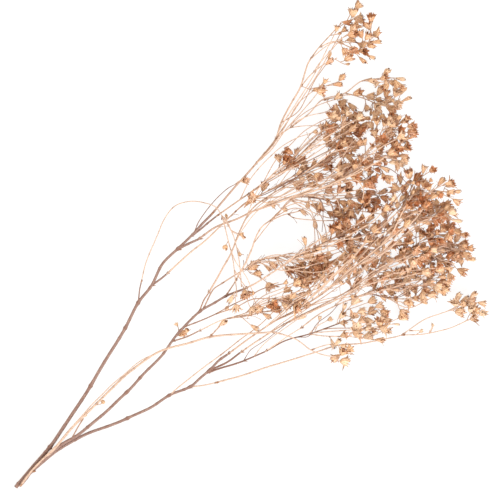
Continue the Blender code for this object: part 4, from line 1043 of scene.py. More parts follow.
# One twig of a node: bark that wavers a little, thicker at its root and at its knots
def addTwig(skin, points, startRadius, endRadius, tone, rng, isFork, flatGirth, isStem):
    last = len(points) - 1
    least, fuller = twigShape["stem" if isStem else "twig"]
    radii = [least + fuller * (startRadius + (endRadius - startRadius) * n / last)
             for n in range(last + 1)]
    path, radius = softCurve(points, radii, twigShape["step"])
    run = pathLength(path)
    share = run / run[-1]
    hold = np.sin(math.pi * np.clip(share, 0, 1))[:, None]
    phase = [rng.uniform(0, anyTurn) for n in range(3)]
    wave = np.stack([np.sin(run / rng.uniform(*twigShape["waves"]) + p) for p in phase], axis=1)
    path = path + wave * hold * twigShape["waver"]
    away = np.linalg.norm(path[:, None, :] - knobPlaces[None, :, :], axis=2).min(axis=1)
    knot = np.exp(-(away / twigShape["knobLength"]) ** 2)
    swell = 1.0 + twigShape["knobSwell"] * knot
    at = rng.uniform(*twigShape["ringFirst"])
    while at < run[-1] - twigShape["ringEnd"]:
        ring = np.exp(-((run - at) / twigShape["ringLength"]) ** 2)
        swell = swell + twigShape["ringSwell"] * ring
        knot = np.maximum(knot, ring * twigShape["ringMark"])
        at += rng.uniform(*twigShape["ringEvery"])
    if isFork:
        collar = np.exp(-(run / twigShape["collarLength"]) ** 2)
        slim = min(1.0, twigShape["collarRadius"] / startRadius)
        swell = swell + twigShape["collarSwell"] * collar * slim
        knot = np.maximum(knot, collar * twigShape["collarMark"])
    sides = twigShape["stemSides" if startRadius > twigShape["stemFrom"] else "twigSides"]
    girth = radius * (twigShape["stemGirth"] if isStem else 1.0)
    if flatGirth is not None:
        girth = np.full(len(radius), flatGirth)
    skin.loft(tubeRings(path, radius * swell, sides), barkSlot, tone, share, girth=girth,
              knot=knot, run=run)
    return path, radius


# bud scales: mm, and shares of a twig's radius and of their own length
scaleShape = dict(stray=0.3, size=(2.0, 3.4), least=0.7, growth=0.4, out=0.9, width=0.42, curl=0.32)


# A pair of little scales at a fork, along the twig that forks
def addScales(skin, place, way, radius, tone, rng):
    way, place = np.array(way), np.array(place)
    side = np.array(Vector(way).orthogonal())
    other = np.cross(way, side)
    turn = rng.uniform(0, anyTurn)
    for number in range(2):
        angle = turn + math.pi * number + rng.uniform(-scaleShape["stray"], scaleShape["stray"])
        up = side * math.cos(angle) + other * math.sin(angle)
        size = rng.uniform(*scaleShape["size"]) * (
            scaleShape["least"] + scaleShape["growth"] * radius)
        addLeaf(skin, bractSlot, tone, place + up * radius * scaleShape["out"], way, up, size,
                size * scaleShape["width"], scaleShape["curl"], rng)


# heads: columns for each tooth, rings of the outer and inner wall as shares of its height, the
# painted shade of the inner wall and floor, wall thickness in mm, and the teeth's own variety
headShape = dict(
    columns=4, outer=(0.0, 0.08, 0.24, 0.46, 0.68, 0.86, 1.0), inner=(0.96, 0.72),
    innerWallShade=(0.35, 0.85, 1.0), floor=0.36, size=0.83, wall=0.2, rib=0.1, crumple=0.12,
    lean=0.09, tooth=(0.7, 1.25), curl=(-0.35, 0.95), flareMost=1.3, belly=(0.42, 0.95),
    dents=(0.15, 0.08), least=0.12)
# stalks: radii at the root, along it, before the head and in it, and the swelling half way
stalkShape = dict(
    root=0.42, along=0.36, lead=0.38, foot=0.6, reach=2.2, leadMost=0.3, step=2.6, sides=5,
    knee=0.45, kneeShare=0.6, kneeAt=(0.35, 0.6), kneeLength=0.8, kneeMark=0.8)
# what stands on and in a head: shares of its length and belly, and sizes in mm; have is how
# often a head has it. A frill's rings: share of its height, of its reach, and how far in they lie
partShape = dict(
    under=dict(count=2, out=0.75, below=0.2, size=(1.6, 2.8), width=0.5, curl=0.22),
    loose=dict(bloomed=(1, 2, 3), shut=(0, 1), tilt=(0.25, 1.15), at=(0.15, 0.7), out=0.7,
               size=(2.4, 4.4), width=(0.35, 0.6), curl=(-0.4, 0.5)),
    tips=dict(count=2, at=0.93, back=0.12, size=0.2, width=0.5, curl=0.3),
    frill=dict(have=0.85, tips=(0.9, 1.22), dips=(0.58, 0.74), wide=0.62, flare=0.3,
               splay=(0.7, 1.2), spread=(-0.12, 0.55), start=0.5, least=0.1, rings=(
                   (0.0, 0.4, 0.0), (0.5, 0.74, 0.0), (1.0, 1.0, 0.0), (0.97, 1.0, 0.14),
                   (0.45, 0.66, 0.1))),
    seeds=dict(have=0.7, rings=(0.0, 0.25, 0.6, 0.9, 1.0), swell=(0.3, 0.9, 1.0, 0.5, 0.05),
               wide=0.6, tall=0.36, sunk=0.02),
    styles=dict(have=0.6, count=2, at=0.25, reach=(0.42, 0.62), spread=0.6, bow=0.5,
                radii=(0.22, 0.18, 0.13), step=1.6),
    petals=dict(have=0.85, count=(3, 4, 5), at=0.2, out=0.35, size=(0.42, 0.7),
                width=(0.35, 0.6), curl=(0.1, 0.5)))


# how low heads are turned up: shares of their length and width, and how far at each turn
raising = dict(reach=1.05, width=0.62, foot=0.4, steepest=0.5, turn=Vector((0.0, 0.0, 0.12)),
               turns=12)


# Turns a head that would dip under the sheet up to lie on it
def raiseHead(head):
    kind = headKinds[head["kind"]]
    reach = kind["length"] * head["scale"] * raising["reach"]
    wide = kind["width"] * head["scale"] * raising["width"] * max(1.0, kind["flare"])
    for number in range(raising["turns"]):
        tip, foot = head["foot"].z + head["axis"].z * reach, head["foot"].z
        if min(tip, foot + wide * raising["foot"]) > wide or head["axis"].z > raising["steepest"]:
            return
        head["axis"] = (head["axis"] + raising["turn"]).normalized()


# One dry calyx in the making, with its stalk: a thin ribbed bell with five teeth, and what
# stands on and in it
class Calyx:

    def __init__(self, skin, head, tone, rng):
        self.kind = kind = headKinds[head["kind"]]
        self.skin, self.tone, self.rng = skin, tone, rng
        scale = head["scale"] * headShape["size"]
        self.scale, self.length = scale, kind["length"] * scale
        self.belly, self.footRadius = kind["width"] * 0.5 * scale, kind["foot"] * 0.5 * scale
        self.axis, self.foot = np.array(head["axis"]), np.array(head["foot"])
        self.bottom = self.foot + kind["mouth"] * self.length * self.axis
        side = np.array(Vector(self.axis).orthogonal())
        turn = rng.uniform(0, anyTurn)
        self.side = side * math.cos(turn) + np.cross(self.axis, side) * math.sin(turn)
        self.other = np.cross(self.axis, self.side)

    def build(self, stalk, isShut):
        self.addStalk([np.array(point) for point in stalk])
        self.addBell()
        self.addUnder()
        self.addLoose("shut" if isShut else "bloomed")
        if isShut:
            self.addTips()
            return
        for name, add in (("frill", self.addFrill), ("seeds", self.addSeeds),
                          ("styles", self.addStyles), ("petals", self.addPetals)):
            if self.rng.random() < partShape[name]["have"]:
                add(partShape[name])

    def draws(self, count, low, high):
        return np.array([self.rng.uniform(low, high) for n in range(count)])

    # Any way straight out from the axis
    def outward(self):
        spin = self.rng.uniform(0, anyTurn)
        return self.side * math.cos(spin) + self.other * math.sin(spin)

    def addLeaf(self, slot, base, way, up, size, width, curl):
        addLeaf(self.skin, slot, self.tone, base, way, up, size, width, curl, self.rng, 4)

    # The stalk comes round into the head's own line
    def addStalk(self, stalk):
        reach = np.linalg.norm(stalk[-1] - stalk[0])
        lead = min(stalkShape["reach"], reach * stalkShape["leadMost"])
        control = [stalk[0]] + stalk[1:-1] + [self.foot - self.axis * lead,
                                              self.foot + self.axis * 0.5]
        thick = [stalkShape["root"]] + [stalkShape["along"]] * (len(control) - 3)
        thick += [stalkShape["lead"], stalkShape["foot"]]
        path, radius = softCurve(control, thick, stalkShape["step"])
        run = pathLength(path)
        place = run[-1] * self.rng.uniform(*stalkShape["kneeAt"])
        knot = np.exp(-((run - place) / stalkShape["kneeLength"]) ** 2)
        knot = knot * (self.rng.random() < stalkShape["kneeShare"])
        rings = tubeRings(path, radius * (1 + stalkShape["knee"] * knot), stalkShape["sides"])
        self.skin.loft(rings, barkSlot, 0.25 + 0.6 * self.tone, run / run[-1], girth=radius,
                       knot=knot * stalkShape["kneeMark"], run=run)

    # The bell: an outer wall up to the teeth, a thin inner wall and a floor, with painted shade
    # inside that darkens towards the floor
    def addBell(self):
        kind, length, belly = self.kind, self.length, self.belly
        perTooth = headShape["columns"]
        self.column = column = np.arange(perTooth * 5)
        tooth = (column + perTooth // 2) // perTooth % 5
        phase = ((column + perTooth // 2) % perTooth - perTooth // 2) / (perTooth / 2)
        angle = 2 * math.pi * column / len(column)
        self.out = np.cos(angle)[:, None] * self.side + np.sin(angle)[:, None] * self.other
        spike = (1.0 - np.abs(phase)) ** kind["power"]
        tall = self.draws(5, *headShape["tooth"])
        curl = self.draws(5, *headShape["curl"])
        valley = (1.0 - kind["teeth"]) * length
        top = valley + (length - valley) * spike * tall[tooth]
        wide, fine = headShape["dents"]
        turns = self.draws(2, 0, anyTurn)
        self.dent = 1.0 + wide * np.cos(2 * angle + turns[0]) + fine * np.cos(3 * angle + turns[1])
        rib = 1.0 + headShape["rib"] * np.maximum(0.0, np.cos(5 * angle)) ** 3
        lean = self.draws(2, -1, 1) * headShape["lean"]
        bellyPower = self.rng.uniform(*headShape["belly"])

        def wallPoints(share, inset):
            height = top * share
            low = np.clip(height / valley, 0.0, 1.0)
            full = self.footRadius + (belly - self.footRadius) * low ** bellyPower
            high = np.clip((height - valley) / (length - valley), 0.0, headShape["flareMost"])
            flare = belly * (kind["flare"] - 1.0) * high + belly * curl[tooth] * high**2
            radius = (full + flare) * self.dent * (rib if inset == 0 else 1.0) - inset
            crumple = self.draws(len(column), -1, 1) * headShape["crumple"]
            radius = np.maximum(radius * (1.0 + crumple * share), headShape["least"])
            x = radius * np.cos(angle) + lean[0] * height * height / length
            y = radius * np.sin(angle) + lean[1] * height * height / length
            points = (self.foot + x[:, None] * self.side + y[:, None] * self.other
                      + height[:, None] * self.axis)
            return points, height / length

        rows = [wallPoints(share, 0.0) for share in headShape["outer"]]
        rows += [wallPoints(share, headShape["wall"]) for share in headShape["inner"]]
        rows.append((self.bottom + belly * headShape["floor"] * self.out,
                     np.full(len(column), kind["mouth"])))
        rings, along = (np.stack([row[number] for row in rows]) for number in (0, 1))
        run = np.array([*headShape["outer"], *headShape["inner"], 0.5])
        # painted shade inside the bell: none on the outer wall, more on each ring further in
        insideShadeMark = np.array([0.0] * len(headShape["outer"]) + [*headShape["innerWallShade"]])
        self.skin.loft(rings, calyxSlot, self.tone, along, knot=insideShadeMark, run=run)

    # Scales under the bell
    def addUnder(self):
        look = partShape["under"]
        for number in range(look["count"]):
            up = self.outward()
            base = self.foot + up * self.footRadius * look["out"] - self.axis * look["below"]
            size = self.rng.uniform(*look["size"]) * self.scale
            self.addLeaf(bractSlot, base, self.axis, up, size, size * look["width"], look["curl"])

    # Dry petals and scales that stand out from a bloomed or shut head
    def addLoose(self, state):
        rng, axis, look = self.rng, self.axis, partShape["loose"]
        for number in range(rng.choice(look[state])):
            up = self.outward()
            tilt = rng.uniform(*look["tilt"])
            way = axis * math.cos(tilt) + up * math.sin(tilt)
            over = up * math.cos(tilt) - axis * math.sin(tilt)
            base = self.foot + axis * self.length * rng.uniform(*look["at"])
            base = base + up * self.belly * look["out"]
            size = rng.uniform(*look["size"]) * self.scale
            self.addLeaf((petalSlot, petalSlot, bractSlot), base, way, over, size,
                         size * rng.uniform(*look["width"]), rng.uniform(*look["curl"]))

    # What shows of the seeds at a shut head's mouth
    def addTips(self):
        look = partShape["tips"]
        tip = self.foot + self.axis * self.length * look["at"]
        base = tip - self.axis * self.length * look["back"]
        for number in range(look["count"]):
            self.addLeaf(seedSlot, base, self.axis, self.outward(), self.length * look["size"],
                         self.belly * look["width"], look["curl"])

    # A ragged frill of dried petals between the teeth, each with its own curl
    def addFrill(self, look):
        isTip, count = self.column % 2 == 1, len(self.column)
        spikes = np.where(isTip, self.draws(count, *look["tips"]), self.draws(count, *look["dips"]))
        wide = look["wide"] + look["flare"] * self.kind["flare"] * self.rng.uniform(*look["splay"])
        spread = wide + np.where(isTip, self.draws(count, *look["spread"]), 0.0)
        frill, along = [], []
        for share, reach, inset in look["rings"]:
            height = self.length * (look["start"] + (spikes - look["start"]) * share)
            radius = self.belly * reach * (spread if reach == 1.0 else wide) * self.dent - inset
            frill.append(self.foot + height[:, None] * self.axis
                         + np.maximum(radius, look["least"])[:, None] * self.out)
            along.append(share * spikes)
        self.skin.loft(np.stack(frill), petalSlot, self.tone, np.stack(along),
                       run=np.array([ring[0] for ring in look["rings"]]))

    def addSeeds(self, look):
        shares = np.array(look["rings"])
        heights = (shares * look["tall"] - look["sunk"]) * self.length
        swell = self.belly * look["wide"] * np.array(look["swell"])
        rings = tubeRings(self.bottom + self.axis * heights[:, None], swell, 6)
        self.skin.loft(rings, seedSlot, self.tone, shares)

    def addStyles(self, look):
        rng = self.rng
        start = self.bottom + self.axis * self.length * look["at"]
        for number in range(look["count"]):
            spread = self.side * rng.uniform(-1, 1) + self.other * rng.uniform(-1, 1)
            end = start + self.axis * self.length * rng.uniform(*look["reach"])
            end = end + spread * self.belly * look["spread"]
            middle = (start + end) / 2 + self.axis * look["bow"]
            path, radius = softCurve([start, middle, end], look["radii"], look["step"])
            self.skin.loft(tubeRings(path, radius, 3), seedSlot, self.tone,
                           np.linspace(0, 1, len(path)))

    def addPetals(self, look):
        rng = self.rng
        for number in range(rng.choice(look["count"])):
            up = self.outward()
            base = self.bottom + self.axis * self.length * look["at"]
            base = base + up * self.belly * look["out"]
            size = self.length * rng.uniform(*look["size"])
            self.addLeaf(petalSlot, base, self.axis, up, size,
                         self.belly * rng.uniform(*look["width"]), rng.uniform(*look["curl"]))


# A socket in an expression: each sum or product on it adds its Math node
class Wire:

    def __init__(self, finish, socket):
        self.finish = finish
        self.socket = socket

    def maths(self, operation, *values):
        return self.finish.node(
            "ShaderNodeMath", {"operation": operation}, dict(enumerate(values)))

    def __add__(self, other):
        return self.maths("ADD", self, other)

    def __radd__(self, other):
        return self.maths("ADD", other, self)

    def __sub__(self, other):
        return self.maths("SUBTRACT", self, other)

    def __rsub__(self, other):
        return self.maths("SUBTRACT", other, self)

    def __mul__(self, other):
        return self.maths("MULTIPLY", self, other)

    def __rmul__(self, other):
        return self.maths("MULTIPLY", other, self)


# A dry plant finish in the making
class Finish:

    def __init__(self, name, roughness):
        self.material = bpy.data.materials.new(name)
        self.material.use_nodes = True
        self.tree = self.material.node_tree
        self.shader = self.tree.nodes["Principled BSDF"]
        self.shader.inputs["Roughness"].default_value = roughness
        self.shader.inputs["Specular IOR Level"].default_value = 0.12

    # Any node: its settings first, then what goes into its sockets
    def node(self, kind, settings, inputs, output=0):
        made = self.tree.nodes.new(kind)
        for key, value in settings.items():
            if key == "stops":
                ramp = made.color_ramp
                while len(ramp.elements) < len(value):
                    ramp.elements.new(1.0)
                for element, (place, colour) in zip(ramp.elements, value):
                    element.position = place
                    element.color = (*colour, 1.0)
            else:
                setattr(made, key, value)
        for key, value in inputs.items():
            self.join(made.inputs[key], value)
        return Wire(self, made.outputs[output])

    def join(self, socket, value):
        if isinstance(value, Wire):
            self.tree.links.new(value.socket, socket)
        elif isinstance(value, tuple) and len(value) == 3 and socket.type == "RGBA":
            socket.default_value = (*value, 1.0)
        else:
            socket.default_value = value

    def mark(self, label, output="Fac"):
        return self.node("ShaderNodeAttribute", {"attribute_name": label}, {}, output)

    def mix(self, factor, low, high):
        return self.node("ShaderNodeMix", {"data_type": "RGBA"}, {0: factor, 6: low, 7: high}, 2)

    # The colour so far, with another laid over it where the factor says
    def layers(self, colour, *pairs):
        for factor, above in pairs:
            colour = self.mix(factor, colour, above)
        return colour

    def noise(self, vector, scale, detail=3.0, rough=0.55):
        return self.node("ShaderNodeTexNoise", {},
                         {"Vector": vector, "Scale": scale, "Detail": detail, "Roughness": rough})

    # 0 below low, 1 above high
    def ease(self, value, low, high):
        return self.node("ShaderNodeMapRange", {"interpolation_type": "SMOOTHSTEP"},
                         {"Value": value, "From Min": low, "From Max": high})

    # The same, times a share
    def spots(self, value, low, high, share):
        return self.ease(value, low, high) * share

    def finish(self, colour, roughness, height, strength, distance):
        bump = self.node("ShaderNodeBump", {},
                         {"Height": height, "Strength": strength, "Distance": distance})
        for label, value in (("Base Color", colour), ("Roughness", roughness), ("Normal", bump)):
            self.join(self.shader.inputs[label], value)
        return self.material

    # the bark's own map: round the twig and along it, in mm
    def grainMap(self, stretch):
        return self.node("ShaderNodeVectorMath", {"operation": "MULTIPLY"},
                         {0: self.mark("grain", "Vector"), 1: stretch})

    # the place in the branch, for marks that cross several pieces
    def placeMap(self):
        return self.node("ShaderNodeTexCoord", {}, {}, "Object")


# bark: thin twigs are peach-tan, and the thick stems mauve-brown, with painted light on the main
# stem near its cut end where the other stems shade it. Ranges are of girth; a mark has its map's
# stretch and its noise, and its spots the range of noise and how strong they are
barkLook = dict(
    thin=(0.79, 0.595, 0.465), thinDark=(0.38, 0.20, 0.12), darkest=(0.24, 0.13, 0.10),
    beige=(0.66, 0.49, 0.385), mid=(0.33, 0.215, 0.185), thick=(0.29, 0.19, 0.165),
    base=(0.60, 0.42, 0.34), pale=(0.78, 0.56, 0.43), ring=(0.22, 0.11, 0.08),
    darkestRange=(0.85, 1.0), beigeRange=(0.12, 0.06), stemRange=(0.74, 1.22),
    thickRange=(0.9, 1.7), paintedLightFrom=(2.74, 2.9), paintedLightTo=(3.12, 3.02), paintedLightShare=0.8,
    streakMap=(1.6, 1.6, 0.09), streakNoise=(2.2, 4.0, 0.65), streakSpots=(0.52, 0.7, 0.5),
    blotchMap=(0.7, 0.7, 0.13), blotchNoise=(1.3, 3.0), blotchSpots=(0.5, 0.72, 0.55),
    fleckMap=(2.0, 2.0, 0.8), fleckNoise=(3.4, 2.0), fleckSpots=(0.6, 0.74, 0.35),
    knotShare=0.55, smoothest=0.56, rougher=0.22, roughness=0.66, relief=(0.55, 0.0004))


def makeBark():
    look = barkLook
    bark = Finish("dryBark", look["roughness"])
    girth, tone, knot = bark.mark("girth"), bark.mark("tone"), bark.mark("knot")
    streaks, blotches, flecks = (
        bark.noise(bark.grainMap(look[name + "Map"]), *look[name + "Noise"])
        for name in ("streak", "blotch", "fleck"))
    thin = bark.layers(
        look["thin"], (tone, look["thinDark"]),
        (bark.ease(tone, *look["darkestRange"]), look["darkest"]),
        (bark.ease(girth, *look["beigeRange"]), look["beige"]))
    stem = bark.mix(bark.ease(girth, *look["thickRange"]), look["mid"], look["thick"])
    # painted light: the main stem's thickest bark, near the cut end, is lightened against the shade
    # that the stems over it cast
    low = bark.ease(girth, *look["paintedLightFrom"]) * bark.ease(girth, *look["paintedLightTo"])
    colour = bark.layers(
        thin, (bark.ease(girth, *look["stemRange"]), stem), (low * look["paintedLightShare"], look["base"]),
        (bark.spots(streaks, *look["streakSpots"]), look["pale"]),
        (bark.spots(blotches, *look["blotchSpots"]), look["ring"]),
        (bark.spots(flecks, *look["fleckSpots"]), look["ring"]),
        (knot * look["knotShare"], look["ring"]))
    roughness = look["smoothest"] + streaks * look["rougher"]
    return bark.finish(colour, roughness, streaks + flecks * 0.5, *look["relief"])


# calyx: papery and ribbed, from pale ochre through tan to red-brown, with dark tips and painted
# shade inside the bell. Spots are ranges with how strong they are, and a pair of numbers is a start
# and what tone adds to it
calyxLook = dict(
    ochre=(0.89, 0.69, 0.49), tan=(0.85, 0.59, 0.365), red=(0.61, 0.26, 0.115),
    rose=(0.95, 0.74, 0.61), rib=(0.44, 0.16, 0.06), tip=(0.38, 0.135, 0.055),
    inside=(0.58, 0.26, 0.12), foot=(0.58, 0.36, 0.19), mottleNoise=(480.0, 3.0, 0.7),
    patchNoise=(95.0, 2.0), patchTone=0.7, ribs=10.0, ribStray=2.2, ribRange=(0.1, 0.75),
    ribShare=(0.3, 0.68), veins=25.0, veinStray=4.0, veinRange=(0.5, 1.0), veinShare=0.22,
    tipStray=0.2, tipRange=(0.84, 1.02), tipShare=0.6, roseSpots=(0.52, 0.66, 0.5),
    palerSpots=(0.46, 0.34, 0.5), darkRange=(0.54, 0.68), darkShare=(0.15, 0.5),
    footSpots=(0.14, 0.0, 0.6), shadeInsideShare=0.6, smoothest=0.66, rougher=0.2, roughness=0.78,
    relief=(0.6, 0.0004))


def makeCalyx():
    look = calyxLook
    calyx = Finish("paperyCalyx", look["roughness"])
    tone, along, insideShadeMark = calyx.mark("tone"), calyx.mark("along"), calyx.mark("knot")
    grain = calyx.mark("grain", "Vector")
    cosine, sine = (calyx.node("ShaderNodeSeparateXYZ", {}, {0: grain}, axis) for axis in (0, 1))
    angle = sine.maths("ARCTAN2", sine, cosine)
    mottle, patch = (calyx.noise(calyx.placeMap(), *look[name])
                     for name in ("mottleNoise", "patchNoise"))
    wave = angle * look["ribs"] + (mottle - 0.5) * look["ribStray"]
    ribs = calyx.ease(wave.maths("COSINE", wave), *look["ribRange"])
    fine = angle * look["veins"] + mottle * look["veinStray"]
    veins = calyx.ease(fine.maths("SINE", fine), *look["veinRange"])
    tips = calyx.spots(along + (mottle - 0.5) * look["tipStray"], *look["tipRange"],
                       look["tipShare"])
    ribStart, ribTone = look["ribShare"]
    darkStart, darkTone = look["darkShare"]
    body = calyx.node("ShaderNodeValToRGB", {"stops": [
        (0.0, look["ochre"]), (0.3, look["tan"]), (0.55, look["tan"]), (1.0, look["red"])]},
        {"Fac": tone + (patch - 0.5) * look["patchTone"]})
    body = calyx.layers(
        body, (calyx.spots(patch, *look["roseSpots"]), look["rose"]),
        (ribs * (ribStart + tone * ribTone), look["rib"]), (veins * look["veinShare"], look["rib"]),
        (calyx.ease(mottle, *look["darkRange"]) * (darkStart + tone * darkTone), look["rib"]),
        (calyx.spots(mottle, *look["palerSpots"]), look["rose"]),
        (calyx.spots(along, *look["footSpots"]), look["foot"]), (tips, look["tip"]),
        # painted shade inside the bell, deepest at its floor
        (insideShadeMark * look["shadeInsideShare"], look["inside"]))
    height = ribs * 0.8 + veins * 0.3 + mottle
    roughness = look["smoothest"] + mottle * look["rougher"]
    return calyx.finish(body, roughness, height, *look["relief"])


# Small dry parts: two shades, mottled across, darker or lighter towards their tips, and redder
# with their head's tone
smallLooks = dict(
    drySeed=dict(dark=(0.10, 0.04, 0.022), light=(0.30, 0.13, 0.065), roughness=0.6,
                 tipShade=-0.1, scale=900.0, toneShade=0.0),
    dryBract=dict(dark=(0.30, 0.14, 0.08), light=(0.66, 0.38, 0.22), roughness=0.72,
                  tipShade=-0.25, scale=700.0, toneShade=0.0),
    dryPetal=dict(dark=(0.54, 0.22, 0.10), light=(0.93, 0.70, 0.51), roughness=0.8,
                  tipShade=-0.12, scale=520.0, toneShade=0.7),
    cutPith=dict(dark=(0.40, 0.25, 0.15), light=(0.78, 0.62, 0.44), roughness=0.85,
                 tipShade=0.0, scale=1400.0, toneShade=0.0))


def makeSmall(name, look):
    small = Finish(name, look["roughness"])
    mottle = small.noise(small.placeMap(), look["scale"], 3.0)
    fibre = small.noise(small.grainMap((2.2, 2.2, 0.6)), 3.0, 2.0)
    darker = (small.mark("tone") - 0.4) * look["toneShade"]
    tips = small.mark("along") * look["tipShade"]
    shade = small.ease(mottle + (fibre - 0.5) * 0.6 + tips - darker, 0.3, 0.75)
    colour = small.mix(shade, look["dark"], look["light"])
    roughness = look["roughness"] - 0.06 + fibre * 0.12
    return small.finish(colour, roughness, mottle + fibre, 0.5, 0.0003)


print("mixing the finishes")
finishes = [makeBark(), makeCalyx(), *(makeSmall(*entry) for entry in smallLooks.items())]

# the tone of each piece's heads, 0 pale ochre to 1 red-brown, and how far heads stray from it
tones = dict(
    main_stem=0.4, second_stem=0.4, top_spray=0.56, top_side_spray=0.24, crown_spray=0.36,
    upper_spray=0.5, pale_spray=0.34, twig_loop=0.42, middle_pale_spray=0.42,
    middle_dark_spray=0.49, arch_spray=0.46, inner_spray=0.47, side_spray=0.46,
    right_high_spray=0.46, right_middle_spray=0.42, right_low_spray=0.34, lower_spray=0.12,
    drooping_spray=0.16, low_tip_spray=0.0)
toneStray = dict(spray=0.17, clump=0.07, twig=0.12)
# clumps that are darker or paler than the rest: right, down, reach and tone
clumps = [(281, 160, 6, 0.25), (291, 158, 12, 0.8), (330, 168, 9, 0.95), (376, 207, 8, 0.9),
    (420, 202, 9, 0.95), (438, 240, 8, 0.9), (420, 262, 8, 0.9), (274, 309, 10, 0.95),
    (312, 271, 24, 0.44), (301, 279, 6, 0.8), (318, 268, 6, 0.75), (251, 198, 6, 0.2),
    (244, 181, 8, 0.25), (241, 309, 15, 0.12), (244, 293, 6, 0.35), (398, 165, 7, 0.0),
    (352, 262, 12, 0.28), (360, 277, 9, 0.25), (337, 111, 10, 0.3), (352, 108, 8, 0.2),
    (311, 214, 12, 0.25), (284, 208, 7, 0.1), (353, 117, 7, 0.15), (368, 126, 7, 0.1),
    (388, 126, 9, 0.25), (357, 135, 8, 0.9), (342, 151, 7, 0.9), (375, 181, 9, 0.85),
    (408, 200, 8, 0.9), (398, 201, 6, 0.2), (434, 204, 8, 0.3), (451, 196, 8, 0.3),
    (434, 220, 7, 0.85), (452, 249, 9, 0.3), (424, 256, 7, 0.25), (449, 257, 6, 0.85),
    (296, 302, 14, 0.3), (303, 309, 5, 0.7)]
# painted shade: heads under others are painted redder by this much for each one, up to so many, and
# free ones are painted paler as if lit
coverShade = dict(middle=4.0, reach=7.0, over=2.5, each=0.08, most=3, free=0.02)
# twigs take this share of their spray's tone, some are much darker, and raised ones are painted
# pale as a painted highlight
twigTones = dict(
    spray=0.45, stem=2.0, odd=0.5, oddShare=0.18, oddFrom=4, raised=(0.02, 0.2), pale=0.5)
# girths that the bark takes for pale and for dark routes, whatever their radius
flatGirths = dict(pale=0.05, dark=0.3)


def headMiddle(head):
    return head["foot"] + head["axis"] * coverShade["middle"]


everyHead = [head for plan in plans.values() for head in plan["heads"]]
middles = np.array([list(headMiddle(head)) for head in everyHead])
for head, middle in zip(everyHead, middles):
    isNear = np.linalg.norm(middles[:, :2] - middle[:2], axis=1) < coverShade["reach"]
    head["covers"] = int((isNear & (middles[:, 2] > middle[2] + coverShade["over"])).sum())


def headTone(name, head, rng):
    middle = headMiddle(head)
    tone, stray = tones[name], toneStray["spray"]
    for right, down, reach, clumpTone in clumps:
        if (lay((right, down, 0.0)).xy - middle.xy).length < reach:
            tone, stray = clumpTone, toneStray["clump"]
    # painted shade: each head over this one makes it redder, and a head with none over it is paler
    covers = min(coverShade["most"], head["covers"])
    tone += coverShade["each"] * covers - (coverShade["free"] if covers == 0 else 0.0)
    return min(1.0, max(0.0, rng.gauss(tone, stray)))


# The shade of one of a node's twigs, and its girth where its bark doesn't follow its radius
def twigLook(name, plan, count, rng):
    tone = tones[name] * twigTones["spray" if name in sprays else "stem"]
    isPale, isDark = count in paleRoutes.get(name, ()), count in plan["dark"]
    shade = rng.gauss(tone, toneStray["twig"])
    isOdd = count >= twigTones["oddFrom"] and rng.random() < twigTones["oddShare"]
    shade += twigTones["odd"] if isOdd else 0.0
    shade = twigTones["pale"] if isPale else 1.0 if isDark else min(1.0, max(0.0, shade))
    # painted highlight: twigs that lie over the heads get pale bark
    if count in plan["bright"]:
        shade = rng.uniform(*twigTones["raised"])
    return shade, flatGirths["pale"] if isPale else flatGirths["dark"] if isDark else None


# rings of a cut end: how far out (mm), and their share of the stem's radius
pith = dict(out=(0.0, 0.04, 0.06), width=(0.98, 0.9, 0.2))


# The pale pith of a cut end
def addPith(skin, path, radius):
    way = path[0] - path[1]
    way = way / np.linalg.norm(way)
    disc = tubeRings(path[0] + way * np.array(pith["out"])[:, None],
                     radius * np.array(pith["width"]), twigShape["stemSides"])
    skin.loft(disc, pithSlot, 0.5, [0.0, 0.5, 1.0])


allTriangles = 0
for number, (name, plan) in enumerate(plans.items()):
    rng = random.Random(100 + number)
    skin = Skin()
    for count, (startRadius, endRadius, points) in enumerate(plan["routes"]):
        isFork = name in sprays or count > 0
        shade, flatGirth = twigLook(name, plan, count, rng)
        measured = measuredRoutes.get(name, {})
        startRadius, endRadius = measured.get(count, (startRadius, endRadius))
        path, radius = addTwig(
            skin, points, startRadius, endRadius, shade, rng, isFork, flatGirth, name in stems)
        if isFork and startRadius > twigShape["scalesFrom"]:
            way = (points[1] - points[0]).normalized()
            place = points[0] + way * twigShape["scaleAway"]
            addScales(skin, place, way, startRadius, 0.5, rng)
        if not isFork:
            addPith(skin, path, radius[0])
    for head in plan["heads"]:
        raiseHead(head)
        calyx = Calyx(skin, head, headTone(name, head, rng), rng)
        calyx.build(head["stalk"], head["kind"] in ("pod", "bud"))
    for points, tone in growHairs(plan) if name in hairs["nodes"] else []:
        path, radius = softCurve(points, hairs["radii"], 3.0)
        run = pathLength(path)
        swell = 1.0 + hairs["knobs"] * np.exp(-((run[-1] - run) / hairs["knobLength"]) ** 2)
        skin.loft(tubeRings(path, radius * swell, twigShape["hairSides"]), barkSlot,
                  0.5 + 0.5 * tone, run / run[-1], girth=radius, run=run)
    first, *rest = name.split("_")
    piece = skin.build(first + "".join(word.capitalize() for word in rest), finishes)
    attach(piece, "root")
    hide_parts(name)
    triangles = sum(len(face) - 2 for face in skin.faces)
    allTriangles += triangles
    print(piece.name, "heads", len(plan["heads"]), "triangles", triangles)
print("triangles in all", allTriangles)


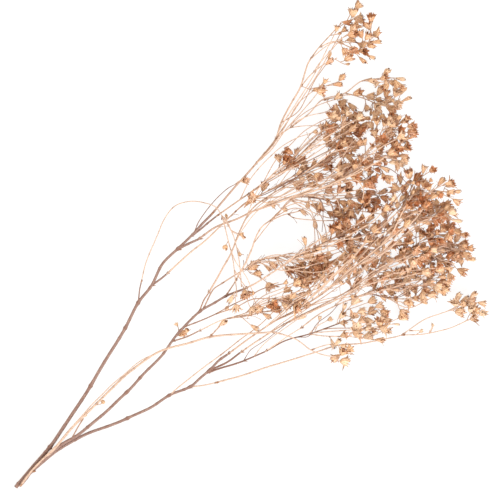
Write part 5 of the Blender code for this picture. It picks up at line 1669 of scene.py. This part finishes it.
# the table: a plain pale sheet, wide enough for the low views
table = dict(size=40.0, colour=(0.16, 0.16, 0.16), fleck=(0.18, 0.18, 0.18), glow=0.88,
             weave=900.0, flecks=0.1, roughness=0.9, relief=(0.02, 0.0001))
bpy.ops.mesh.primitive_plane_add(size=table["size"])
floor = bpy.context.object
floor.name = "paleTable"
paper = Finish("tablePaper", table["roughness"])
weave = paper.noise(paper.placeMap(), table["weave"], 2.0)
paper.shader.inputs["Emission Color"].default_value = (1.0, 1.0, 1.0, 1.0)
paper.shader.inputs["Emission Strength"].default_value = table["glow"]
shade = paper.mix(weave * table["flecks"], table["colour"], table["fleck"])
floor.data.materials.append(paper.finish(shade, table["roughness"], weave, *table["relief"]))

# light: a soft lamp from the bottom right of the picture, a weaker and warmer one from the top
# left, and warm pale light all round; lamps stand at right, down and height on the sheet
daylight = dict(colour=(1.0, 0.905, 0.81, 1.0), strength=0.64)
lampAim = (270.0, 240.0, 40.0)
lamps = dict(
    keyLamp=dict(place=(1150.0, 1350.0, 1900.0), power=58.0, size=1.4, colour=(1.0, 0.985, 0.97)),
    fillLamp=dict(place=(-1300.0, -700.0, 1700.0), power=28.0, size=2.4,
                  colour=(1.0, 0.86, 0.72)))
world = bpy.data.worlds.new("paleRoom")
bpy.context.scene.world = world
world.use_nodes = True
world.node_tree.nodes["Background"].inputs["Color"].default_value = daylight["colour"]
world.node_tree.nodes["Background"].inputs["Strength"].default_value = daylight["strength"]
for name, lamp in lamps.items():
    data = bpy.data.lights.new(name, "AREA")
    data.energy, data.size, data.color = lamp["power"], lamp["size"], lamp["colour"]
    light = bpy.data.objects.new(name, data)
    bpy.context.scene.collection.objects.link(light)
    light.location = lay(lamp["place"]) * mm
    aim = lay(lampAim) * mm - light.location
    light.rotation_euler = aim.to_track_quat("-Z", "Y").to_euler()

# the camera looks straight down from far away; the sheet fills its frame
shot = dict(distance=8.0, field=0.5, level=0.04, sensor=36.0, near=0.1, far=60.0)
cameraData = bpy.data.cameras.new("topCamera")
cameraData.sensor_width = shot["sensor"]
cameraData.lens = shot["sensor"] * (shot["distance"] - shot["level"]) / shot["field"]
cameraData.clip_start, cameraData.clip_end = shot["near"], shot["far"]
camera = bpy.data.objects.new("topCamera", cameraData)
bpy.context.scene.collection.objects.link(camera)
camera.location = lay((250.0, 250.0, 0.0)) * mm + Vector((0.0, 0.0, shot["distance"]))
camera.rotation_euler = (0.0, 0.0, -sheet["turn"])
bpy.context.scene.camera = camera
bpy.context.scene.view_settings.view_transform = "Standard"
print("light and camera set")
